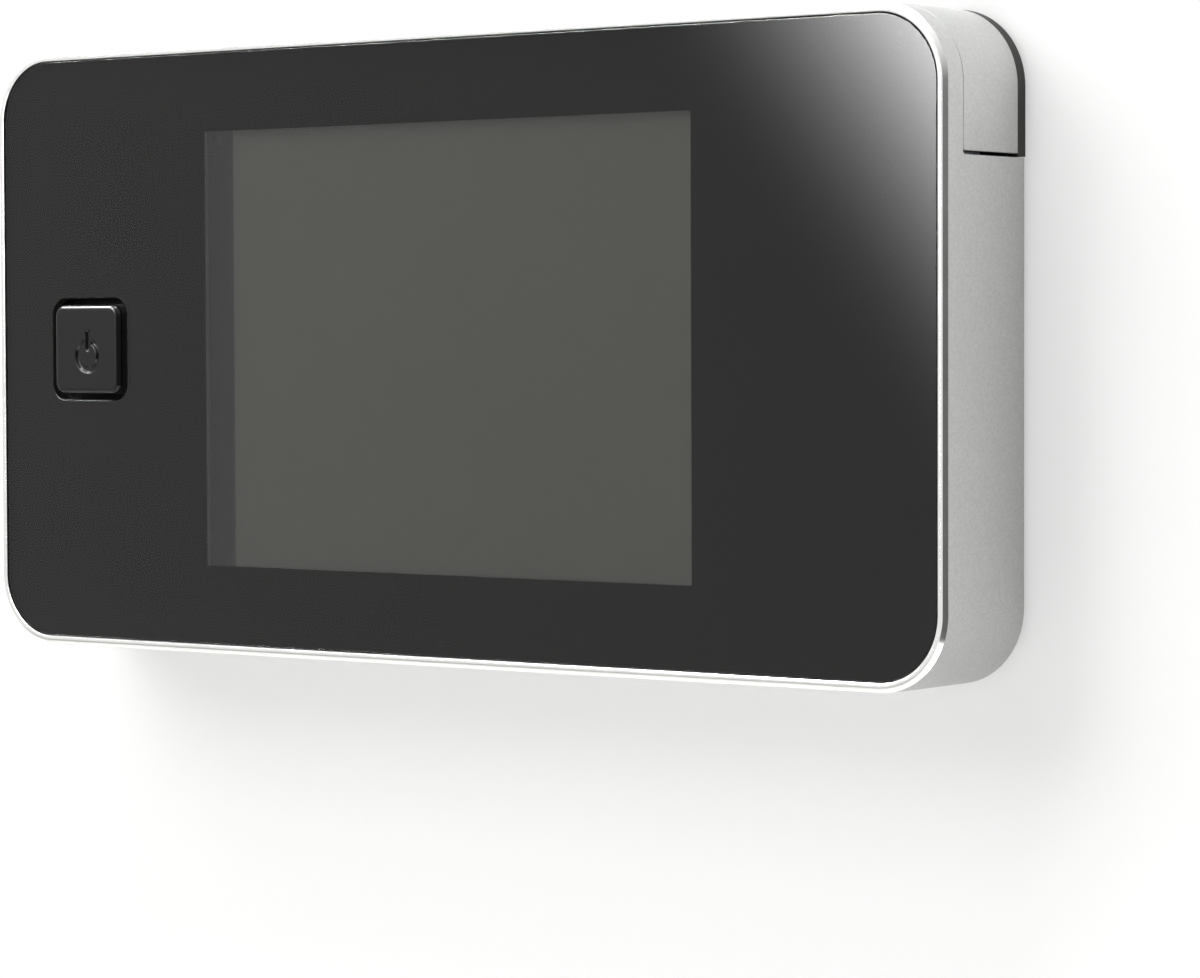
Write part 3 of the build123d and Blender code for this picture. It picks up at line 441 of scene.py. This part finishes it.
def buttonPlastic(tree):
    s = capSet
    haze = grain(tree, s["haze"], s["hazeDetail"])
    face, soft = -s["face"] * mm, s["soft"] * mm
    side = mapped(tree, placeAlong(tree, "Y"), face - soft, face + soft)
    # below the face the colour turns darker: painted shade of the gap round the button, not a different
    # plastic
    colour = mixed(tree, side, tinted(tree, haze, s["dark"], s["light"]), linear(s["side"]), "RGBA")
    rough = mixed(tree, side, between(tree, haze, *s["rough"]), s["sideRough"])
    return surface(tree, colour=colour, rough=rough, shine=s["shine"])


# liquid crystal glass, switched off: under the polariser its mirror-backed cells give a dull grey gloss
# and no diffuse light, and its black border shows at the left; edge is the border's place in
# millimetres
screenSet = {"edge": -30.0, "soft": 0.12, "grey": "#373732", "border": "#0a0a0c", "rough": 0.35}


def screenGlass(tree):
    s = screenSet
    edge, soft = s["edge"] * mm, s["soft"] * mm
    inside = mapped(tree, placeAlong(tree, "X"), edge - soft, edge + soft)
    return surface(tree, colour=tinted(tree, inside, s["border"], s["grey"]), metal=1.0, rough=s["rough"])


# plain finishes of the inner pieces: colour pair, metal, roughness pair, grain in mm, depth in mm
plainFinishes = {
    "blackFoam": ("#141414", "#1f1f1f", 0.0, 0.85, 0.95, 0.35, 0.05),
    "lightGuide": ("#d9dad8", "#e6e6e4", 0.0, 0.35, 0.5, 4.0, 0.002),
    "tinnedSteel": ("#a7a8a8", "#bcbdbd", 1.0, 0.28, 0.4, 0.6, 0.002),
    "polyimide": ("#8a4d12", "#a15f1a", 0.0, 0.25, 0.35, 2.0, 0.002),
    "blackMoulding": ("#151515", "#1d1d1d", 0.0, 0.4, 0.55, 0.2, 0.004),
    "boardLacquer": ("#0d3f1f", "#145028", 0.0, 0.22, 0.35, 1.2, 0.01),
    "zincScrew": ("#b4b6ba", "#c9cacc", 1.0, 0.22, 0.36, 0.5, 0.002),
    "creamMoulding": ("#cfc6a8", "#ddd5ba", 0.0, 0.4, 0.5, 0.6, 0.003),
    "cellSleeve": ("#7f858c", "#8d939a", 0.3, 0.25, 0.35, 3.0, 0.002),
    "nickelSheet": ("#b9b3a4", "#cac4b6", 1.0, 0.2, 0.32, 0.5, 0.002),
    "zincSheet": ("#a9acae", "#c2c4c6", 1.0, 0.3, 0.45, 1.5, 0.004),
    "turnedBrass": ("#c69a4a", "#d5ab5c", 1.0, 0.2, 0.32, 0.4, 0.003),
    "satinNickel": ("#b3aea6", "#c4bfb7", 1.0, 0.3, 0.4, 0.3, 0.003),
    "flatCable": ("#d2d2cd", "#dfdfda", 0.0, 0.4, 0.5, 0.5, 0.01),
}
plainDetail = 3.0


def plainFinish(tree, dark, light, metal, smoothEnd, roughEnd, size, depth):
    pattern = grain(tree, size, plainDetail)
    return surface(tree, colour=tinted(tree, pattern, dark, light), metal=metal,
                   rough=between(tree, pattern, smoothEnd, roughEnd), normal=bumped(tree, pattern, depth))


recipes = {
    "blackPrint": (blackPrint, ()),
    "platedRing": (platedRing, ()),
    "silverPaint": (silverPaint, ()),
    "texturedPlastic": (texturedPlastic, ()),
    "buttonPlastic": (buttonPlastic, ()),
    "screenGlass": (screenGlass, ()),
}
recipes |= {name: (clearSolid, values) for name, values in clearSolids.items()}
recipes |= {name: (plainFinish, values) for name, values in plainFinishes.items()}
finishes = {}
for name, (recipe, values) in recipes.items():
    finishes[name], tree = blankMaterial(name)
    closeMaterial(tree, recipe(tree, *values))

dressing = {
    "clearAcrylic": ["front_lens"],
    "blackPrint": ["lens_mask"],
    "platedRing": ["trim_ring", "lens_bezel"],
    "silverPaint": ["case_shell", "battery_door_cap"],
    "texturedPlastic": ["rear_cover", "battery_door"],
    "buttonPlastic": ["power_button"],
    "blackFoam": ["lcd_gasket", "adhesive_pad", "barrel_gasket"],
    "screenGlass": ["lcd_glass"],
    "lightGuide": ["lcd_backlight"],
    "tinnedSteel": ["lcd_frame"],
    "polyimide": ["lcd_flex"],
    "blackMoulding": [
        "power_switch", "switch_plunger", "processor", "board_parts", "lens_cell", "image_sensor",
    ],
    "boardLacquer": ["main_board", "sensor_board"],
    "zincScrew": ["board_screws", "case_screws"],
    "creamMoulding": ["camera_socket", "ribbon_plug"],
    "cellSleeve": ["battery_left", "battery_right"],
    "nickelSheet": ["contact_positive", "contact_negative", "contact_bridge"],
    "zincSheet": ["mounting_bracket"],
    "turnedBrass": ["mounting_sleeve"],
    "satinNickel": ["camera_barrel"],
    "opticalGlass": ["dome_lens", "lens_elements"],
    "flatCable": ["ribbon_cable"],
}
for name, members in dressing.items():
    for member in members:
        data = nodes[member].data
        data.materials.clear()
        data.materials.append(finishes[name])
print("materials set on", sum(map(len, dressing.values())), "nodes")

# ---- new pieces ----

shadeSet = {"hardEdge": 35}  # in degrees


def smoothStep(value):
    # 0 below 0, 1 above 1, and 3v^2 - 2v^3 between
    v = np.clip(value, 0, 1)
    return v * v * (3 - 2 * v)


def sharpen(obj, degrees=shadeSet["hardEdge"]):
    # edges that turn by more than that keep a hard line in the shading
    obj.data.set_sharp_from_angle(angle=math.radians(degrees))
    return obj


def fitIn(obj, node, body, material):
    # the piece stands for the node, rides with its body, and has its finish
    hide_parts(node)
    if body:
        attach(obj, body)
    obj.data.materials.clear()
    obj.data.materials.append(finishes[material])


# apart: the metres between corners that become one; flat: the degrees between faces that become one
mergeSet = {"apart": 1e-6, "flat": 1}


def mergedCopy(node, name):
    # the node's own mesh with its loose corners joined and its flat faces made whole
    mesh = nodes[node].data.copy()
    work = bmesh.new()
    work.from_mesh(mesh)
    bmesh.ops.remove_doubles(work, verts=work.verts, dist=mergeSet["apart"])
    level = math.radians(mergeSet["flat"])
    bmesh.ops.dissolve_limit(work, angle_limit=level, verts=work.verts, edges=work.edges)
    work.to_mesh(mesh)
    work.free()
    mesh.name = name
    obj = bpy.data.objects.new(name, mesh)
    bpy.context.scene.collection.objects.link(obj)
    return obj


def roundEdges(node, name, values):
    # the node's own form with each sharp edge rounded over
    obj = mergedCopy(node, name)
    obj.data.polygons.foreach_set("use_smooth", np.ones(len(obj.data.polygons), bool))
    bevel = obj.modifiers.new("edges", "BEVEL")
    bevel.width = values["edge"] * mm
    bevel.segments = values["segments"]
    bevel.limit_method = "ANGLE"
    bevel.angle_limit = math.radians(values["angle"])
    bevel.harden_normals = values["hardened"]
    return obj


def joinAll(name, objects):
    # one mesh object from several
    work = bmesh.new()
    for obj in objects:
        work.from_mesh(obj.data)
        bpy.data.objects.remove(obj)
    mesh = bpy.data.meshes.new(name)
    work.to_mesh(mesh)
    work.free()
    joined = bpy.data.objects.new(name, mesh)
    bpy.context.scene.collection.objects.link(joined)
    return joined


# millimetres; heights are counted off the door's face
buttonSet = {
    "half": 5.1, "corner": 1.35, "round": 0.6, "flangeCorner": 1.9, "flangeTop": 12.75, "flangeBack": 11.75,
    "cavityHalf": 3.9, "cavityCorner": 0.3, "cavityTop": 14.6, "stem": 2.2,
    "markX": 0.25, "markZ": -0.72, "ring": 1.63, "gap": 0.8, "barLow": 0.82, "barHigh": 2.6,
    "stroke": 0.54, "soft": 0.26, "deep": 0.28, "plain": 3.1, "step": 0.06,
    "perSide": 30, "perCorner": 18, "blendRows": 8, "roundRows": 7,
}


def markDepth(x, z, s):
    # engraved on and off sign: the distance to the middle line of an open ring and of a bar, turned
    # into a groove by a smooth step over its edge
    endZ = math.sqrt(s["ring"] ** 2 - s["gap"] ** 2)
    inGap = (z > 0) & (np.abs(x) < s["gap"])
    ringAway = np.where(inGap, np.hypot(np.abs(x) - s["gap"], z - endZ), np.abs(np.hypot(x, z) - s["ring"]))
    barAway = np.hypot(x, z - np.clip(z, s["barLow"], s["barHigh"]))
    away = np.minimum(ringAway, barAway)
    return s["deep"] * smoothStep((s["stroke"] / 2 + s["soft"] / 2 - away) / s["soft"])


def powerButton():
    # rings from the middle of the mark outwards: circles, then circles blended into the rounded square,
    # then a quarter round over the edge, down the sides to the flange, round it and up into the hollow
    # behind, to the stem's end
    s = buttonSet
    low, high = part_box("power_button")
    top, flangeHalf, stemEnd = -low.y / mm, (high.x - low.x) / 2 / mm, -high.y / mm
    middle = np.array([(low.x + high.x) / 2, (low.z + high.z) / 2]) / mm
    mark = middle + [s["markX"], s["markZ"]]

    def square(half, corner):
        return middle + roundedSquare(half, half, corner, s["perSide"], s["perCorner"])

    edge = square(s["half"], s["corner"]) - middle
    angle = np.arctan2(edge[:, 1], edge[:, 0])
    spokes = np.stack([np.cos(angle), np.sin(angle)], -1)
    circles = np.arange(s["step"], s["plain"], s["step"])[:, None, None] * spokes
    inner = square(s["half"] - s["round"], s["corner"] - s["round"])
    share = np.linspace(0, 1, s["blendRows"] + 1)[1:, None, None]
    blended = (mark + s["plain"] * spokes) * (1 - share) + inner * share
    flat = np.concatenate([mark + circles, blended])
    flatHeight = top - markDepth(flat[..., 0] - mark[0], flat[..., 1] - mark[1], s)
    turn = np.linspace(0, quarterTurn, s["roundRows"] + 1)[1:]
    insets = [s["round"] * (1 - math.sin(t)) for t in turn]
    rounded = [square(s["half"] - inset, s["corner"] - inset) for inset in insets]
    roundHeight = top - s["round"] * (1 - np.cos(turn))
    flange, cavity = square(flangeHalf, s["flangeCorner"]), square(s["cavityHalf"], s["cavityCorner"])
    stem = middle + s["stem"] * spokes
    rest = [
        (square(s["half"], s["corner"]), s["flangeTop"]),
        (flange, s["flangeTop"]),
        (flange, s["flangeBack"]),
        (cavity, s["flangeBack"]),
        (cavity, s["cavityTop"]),
        (stem, s["cavityTop"]),
        (stem, stemEnd),
    ]
    outline = np.concatenate([flat, rounded, [r[0] for r in rest]])
    plainHeight = np.concatenate([roundHeight, [r[1] for r in rest]])[:, None]
    height = np.concatenate([flatHeight, np.repeat(plainHeight, len(edge), 1)])
    rings = np.stack([outline[..., 0], -height, outline[..., 1]], -1) * mm
    frontPole = (mark[0] * mm, -top * mm, mark[1] * mm)
    stemPole = (middle[0] * mm, -stemEnd * mm, middle[1] * mm)
    obj = ringMesh("powerButton", rings, frontPole, stemPole)
    fitIn(sharpen(obj), "power_button", "power_button", "buttonPlastic")


# cross-recessed countersunk screws, all four alike but for their turn; millimetres and degrees
screwSet = {
    "radius": 1.0, "head": 1.7, "cone": 0.7, "rim": 0.06, "neck": 0.1, "pitch": 0.8, "thread": 0.14,
    "pointLength": 0.6, "pointRise": 0.2, "pointRadii": (0.45, 0.2), "turns": (12, 57, -25, 80),
    "armLength": 1.05, "armFade": 0.5, "armHalf": 0.22, "armSoft": 0.06, "deep": 0.75, "centre": 0.05,
    "columns": 64, "headRows": 30, "shankRows": 60,
}


def caseScrews():
    # rings about the screw's axis: the head's flat with the cross pressed in, its cone, and a shank
    # whose radius waves once per turn and pitch
    s = screwSet
    low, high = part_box("case_screws")
    back, tip = high.y / mm, low.y / mm
    angle = np.arange(s["columns"]) * fullTurn / s["columns"]

    def rows(values):
        return np.broadcast_to(np.array(values)[:, None], (len(values), s["columns"]))

    headRadius = np.linspace(s["centre"], s["head"] - s["rim"], s["headRows"])[:, None]
    shankY = np.linspace(back - s["cone"] - s["neck"], tip + s["pointLength"], s["shankRows"])[:, None]
    wave = 0.5 + 0.5 * np.cos(fullTurn * shankY / s["pitch"] - angle)
    shankRadius = s["radius"] - s["thread"] * wave
    coneRadii = rows([s["head"], s["head"], s["radius"]])
    coneY = rows([back - s["rim"] / 2, back - s["rim"], back - s["cone"]])
    places = [(x, z) for x in (low.x / mm + s["head"], high.x / mm - s["head"])
              for z in (low.z / mm + s["head"], high.z / mm - s["head"])]
    screws = []
    for number, (x, z) in enumerate(places):
        turned = angle + math.radians(s["turns"][number])
        u, v = np.abs(headRadius * np.cos(turned)), np.abs(headRadius * np.sin(turned))
        along = smoothStep((s["armLength"] - np.maximum(u, v)) / s["armFade"])
        across = smoothStep((s["armHalf"] + s["armSoft"] - np.minimum(u, v)) / (2 * s["armSoft"]))
        dent = s["deep"] * along * across
        flat = np.broadcast_to(headRadius, dent.shape)
        radius = np.vstack([flat, coneRadii, shankRadius, rows(s["pointRadii"])])
        height = np.broadcast_to(shankY, shankRadius.shape)
        y = np.vstack([back - dent, coneY, height, rows([tip + s["pointRise"], tip])])
        poles = [(x * mm, depth * mm, z * mm) for depth in (back - s["deep"], tip)]
        screws.append(sharpen(ringMesh(f"caseScrew{number}", aboutAxis(radius, y, angle, x, z), *poles)))
    fitIn(joinAll("caseScrews", screws), "case_screws", "monitor", "zincScrew")


# threaded sleeve through the door; the flange's two notches take a key; millimetres, slit is a share of
# a notch
sleeveSet = {
    "radius": 6.0, "bore": 4.6, "flange": 11.0, "flangeThickness": 1.8, "notchDepth": 2.0, "notchWidth": 2.0,
    "slit": 0.02, "edge": 0.4, "edgeRows": 5, "mouth": 0.3, "pitch": 1.0, "thread": 0.45, "crest": 0.1,
    "relief": 1.6, "undercut": 0.1, "fadeIn": 1.5, "fadeOut": 1.0, "endPlain": 0.5, "endDepth": 0.6,
    "columns": 72, "rowsPerPitch": 10,
}


def mountingSleeve():
    # rings about the tube's axis: up the bore, round the flange, whose radius drops at the notches, and
    # along a thread whose radius follows a rounded saw once per turn and pitch
    s = sleeveSet
    low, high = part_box("mounting_sleeve")
    front, end = low.y / mm, high.y / mm
    halfNotch = math.asin(s["notchWidth"] / 2 / s["flange"])
    beside = np.array([-1 - s["slit"], -1 + s["slit"], 1 - s["slit"], 1 + s["slit"]]) * halfNotch
    slits = np.array([0, math.pi])[:, None] + beside
    even = np.arange(s["columns"]) * fullTurn / s["columns"]
    angle = np.sort(np.concatenate([even, slits.ravel() % fullTurn]))
    notch = np.abs(np.sin(angle)) < math.sin(halfNotch)
    flange = np.where(notch, s["flange"] - s["notchDepth"], s["flange"])
    seat = front + s["flangeThickness"]
    threadStart, threadEnd = seat + s["relief"], end - s["endPlain"]
    threadY = np.arange(threadStart, threadEnd, s["pitch"] / s["rowsPerPitch"])[:, None]
    wave = np.abs((threadY / s["pitch"] - angle / fullTurn) % 1 * 2 - 1)
    fade = smoothStep((threadY - threadStart) / s["fadeIn"])
    fade = fade * smoothStep((threadEnd - threadY) / s["fadeOut"])
    groove = s["thread"] * fade * smoothStep((wave - s["crest"]) / (1 - 2 * s["crest"]))
    threaded = s["radius"] - groove - s["undercut"] * (1 - fade)
    plain = np.ones(len(angle))
    rows = [(s["bore"] * plain, end - s["mouth"]), (s["bore"] * plain, front + s["mouth"]),
            ((s["bore"] + s["mouth"]) * plain, front)]
    for turn in np.linspace(0, quarterTurn, s["edgeRows"]):
        rows.append((flange - s["edge"] * (1 - math.sin(turn)), front + s["edge"] * (1 - math.cos(turn))))
    rows += [(flange, seat), ((s["radius"] - s["undercut"]) * plain, seat)]
    mouth = [(s["radius"] - s["endDepth"]) * plain, (s["bore"] + s["mouth"]) * plain]
    radius = np.vstack([[r[0] for r in rows], threaded, mouth])
    y = np.vstack([np.outer([r[1] for r in rows], plain), np.broadcast_to(threadY, threaded.shape),
                   np.outer([end, end], plain)])
    obj = ringMesh("mountingSleeve", aboutAxis(radius, y, angle), closed=True)
    fitIn(sharpen(obj), "mounting_sleeve", "door_mount", "turnedBrass")


# foam pad: its cut edges bulge a little under the bracket; millimetres and degrees
padSet = {"edge": 0.22, "segments": 3, "angle": 60, "hardened": False}


def foamPad():
    obj = roundEdges("adhesive_pad", "foamPad", padSet)
    fitIn(obj, "adhesive_pad", "door_mount", "blackFoam")


# rubber ring under the outdoor head: its rims are round
sealSet = {"inner": 8.0, "outer": 13.0, "columns": 128, "rimRows": 9, "hardEdge": 60}


def headSeal():
    # a flat ring whose section is a wide stadium: straight top and bottom joined by half rounds
    s = sealSet
    low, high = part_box("barrel_gasket")
    half, middle = (high.y - low.y) / 2 / mm, (high.y + low.y) / 2 / mm
    turn = np.linspace(-quarterTurn, quarterTurn, s["rimRows"])
    outer, inner = s["outer"] - half + half * np.cos(turn), s["inner"] + half - half * np.cos(turn)
    radius = np.concatenate([outer, inner])[:, None]
    y = middle + half * np.concatenate([np.sin(turn), -np.sin(turn)])[:, None]
    angle = np.arange(s["columns"]) * fullTurn / s["columns"]
    obj = ringMesh("headSeal", aboutAxis(radius, y, angle), closed=True)
    fitIn(sharpen(obj, s["hardEdge"]), "barrel_gasket", "camera", "blackFoam")


# foam ring between the print and the screen, a rectangle swept with a soft-edged section
gasketSet = {"width": 1.4, "edge": 0.2, "corner": 0.5, "edgeRows": 4, "perSide": 4, "perCorner": 4,
             "hardEdge": 60}


def screenGasket():
    # rings are rectangles of growing inset: down the outer wall, across and up the inner wall, edges
    # rounded
    s = gasketSet
    low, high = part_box("lcd_gasket")
    middle = np.array([(low.x + high.x) / 2, (low.z + high.z) / 2]) / mm
    halfX, halfZ = (high.x - low.x) / 2 / mm, (high.z - low.z) / 2 / mm
    front, back = low.y / mm, high.y / mm
    turn = np.linspace(0, quarterTurn, s["edgeRows"])
    corner = [(s["edge"] * (1 - math.sin(t)), s["edge"] * (1 - math.cos(t))) for t in turn]
    section = [(i, front + d) for i, d in corner]
    section += [(d, back - i) for i, d in corner]
    section += [(s["width"] - i, back - d) for i, d in corner]
    section += [(s["width"] - d, front + i) for i, d in corner]
    rings = []
    for inset, y in section:
        outline = roundedSquare(halfX - inset, halfZ - inset, s["corner"], s["perSide"], s["perCorner"])
        rings.append(flatRing(middle + outline, y))
    obj = ringMesh("screenGasket", np.stack(rings) * mm, closed=True)
    fitIn(sharpen(obj, s["hardEdge"]), "lcd_gasket", "monitor", "blackFoam")


# bright ring round the plate: a crowned lip, then a bevel down to the case's painted edge; millimetres
ringSet = {"width": 1.0, "corner": 8.0, "lip": 0.56, "crown": 0.03, "crownRows": 9, "bevel": 0.4,
           "edge": 0.22, "tuck": 0.03, "perSide": 40, "perCorner": 36, "hardEdge": 25}


def trimSweep(name, section, material):
    # a section of (inset from the outer wall, height off the door) points carried round the trim ring's
    # outline
    s = ringSet
    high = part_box("trim_ring")[1]
    steps = s["perSide"], s["perCorner"]
    rings = []
    for inset, height in section:
        halfX, halfZ, corner = high.x / mm - inset, high.z / mm - inset, s["corner"] - inset
        rings.append(flatRing(roundedSquare(halfX, halfZ, corner, *steps), -height))
    obj = sharpen(ringMesh(name, np.stack(rings) * mm, closed=True), s["hardEdge"])
    fitIn(obj, "trim_ring", "monitor", material)


def brightRing():
    # sections: up the ring's inner wall, over the lip, which is a low parabola, and down the bevel;
    # then the painted edge below it
    s = ringSet
    low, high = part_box("trim_ring")
    back, front = -high.y / mm, -low.y / mm
    edge, tuck, seam = s["edge"], s["tuck"], front - s["bevel"]
    across = np.linspace(-1, 1, s["crownRows"])
    lip = zip(s["width"] - s["lip"] * (across + 1) / 2, front - s["crown"] * across**2)
    section = [(s["width"], back), *lip, (tuck, seam + tuck), (edge + tuck, seam - tuck), (edge + tuck, back)]
    trimSweep("brightRing", section, "platedRing")
    section = [(0, back), (0, seam), (tuck, seam + tuck / 2), (edge, seam - tuck), (edge, back)]
    trimSweep("paintedEdge", section, "silverPaint")


# laser-cut front plate, its edges flame polished round, with a flat strip beside each to keep the
# face's shading true
plateSet = {"opening": 5.8, "openingCorner": 1.9, "corner": 6.9, "edge": 0.12, "edgeRows": 7, "support": 0.03,
            "perSide": 12, "perCorner": 14}


def clearPlate():
    # rounded rectangles: up the button's opening, over its quarter-round edge, across the front, over
    # the outer edge and down to the back, whose face closes the skin
    s = plateSet
    low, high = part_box("front_lens")
    buttonLow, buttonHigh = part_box("power_button")
    middle = np.array([buttonLow.x + buttonHigh.x, buttonLow.z + buttonHigh.z]) / 2 / mm
    front, back = -low.y / mm, -high.y / mm
    turn = np.linspace(0, quarterTurn, s["edgeRows"])
    edge = [(s["edge"] * (1 - math.cos(t)), front - s["edge"] * (1 - math.sin(t))) for t in turn]
    section = [(0, back), (0, front - s["edge"] - s["support"]), *edge, (s["edge"] + s["support"], front)]
    steps = s["perSide"], s["perCorner"]
    rings = []
    for away, height in section:
        half, corner = s["opening"] + away, s["openingCorner"] + away
        rings.append(flatRing(middle + roundedSquare(half, half, corner, *steps), -height))
    for inset, height in section[::-1]:
        halfX, halfZ, corner = high.x / mm - inset, high.z / mm - inset, s["corner"] - inset
        rings.append(flatRing(roundedSquare(halfX, halfZ, corner, *steps), -height))
    obj = sharpen(ringMesh("clearPlate", np.stack(rings) * mm, closed=True))
    fitIn(obj, "front_lens", "monitor", "clearAcrylic")


# the battery door's painted corner, whose edges are round and catch the light; millimetres and degrees
capEdgeSet = {"edge": 0.14, "segments": 4, "angle": 50, "hardened": True}


def silverCap():
    obj = roundEdges("battery_door_cap", "silverCap", capEdgeSet)
    fitIn(obj, "battery_door_cap", "battery_door", "silverPaint")


# the print is bonded to the plate, so its front lies a hair inside the acrylic
printSet = {"sink": 0.02}


def bondedPrint():
    # the film's own outline, its front face moved into the plate
    obj = mergedCopy("lens_mask", "bondedPrint")
    low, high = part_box("lens_mask")
    for corner in obj.data.vertices:
        if corner.co.y < (low.y + high.y) / 2:
            corner.co.y -= printSet["sink"] * mm
    fitIn(obj, "lens_mask", "monitor", "blackPrint")


# white flat cable of ten conductors, in two lengths that meet in the sleeve; millimetres, still is the
# stretch on each side of the meeting point that doesn't give
cableSet = {"width": 6.0, "thickness": 0.3, "pitch": 0.5, "ripple": 0.05, "plugZ": -3.0, "levelBefore": -0.8,
            "levelAfter": 14.0, "meet": 12.0, "still": 2.0, "rows": 44, "columns": 121, "hardEdge": 60}


def flatCable():
    # a section ridged by a cosine over each conductor is carried along a line whose height rises by a
    # smooth step
    s = cableSet
    low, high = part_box("ribbon_cable")
    across = np.linspace(-s["width"] / 2, s["width"] / 2, s["columns"])
    half = s["thickness"] / 2 - s["ripple"] * (0.5 - 0.5 * np.cos(fullTurn * across / s["pitch"]))
    x = np.concatenate([across, across[::-1]])
    normal = np.concatenate([half, -half[::-1]])
    indoor, outdoor, meet = low.y / mm, high.y / mm, s["meet"]
    lengths = (
        ("flatCableIndoor", indoor, meet, "monitor", "door_mount", indoor, meet - s["still"]),
        ("flatCableOutdoor", meet, outdoor, "door_mount", "camera", meet + s["still"], outdoor),
    )
    for name, start, end, bodyA, bodyB, blendStart, blendEnd in lengths:
        y = np.linspace(start, end, s["rows"])[:, None]
        rise = (y - s["levelBefore"]) / (s["levelAfter"] - s["levelBefore"])
        z = s["plugZ"] * (1 - smoothStep(rise))
        slope = np.gradient(z[:, 0], y[:, 0])[:, None]
        length = np.sqrt(1 + slope**2)
        rings = np.stack([x + 0 * y, y - normal * slope / length, z + normal / length], -1) * mm
        obj = ringMesh(name, rings, (0, start * mm, z[0, 0] * mm), (0, end * mm, z[-1, 0] * mm))
        fitIn(sharpen(obj, s["hardEdge"]), "ribbon_cable", None, "flatCable")
        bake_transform(obj)


powerButton()
caseScrews()
mountingSleeve()
foamPad()
headSeal()
screenGasket()
brightRing()
clearPlate()
silverCap()
bondedPrint()
flatCable()
print("new pieces made")
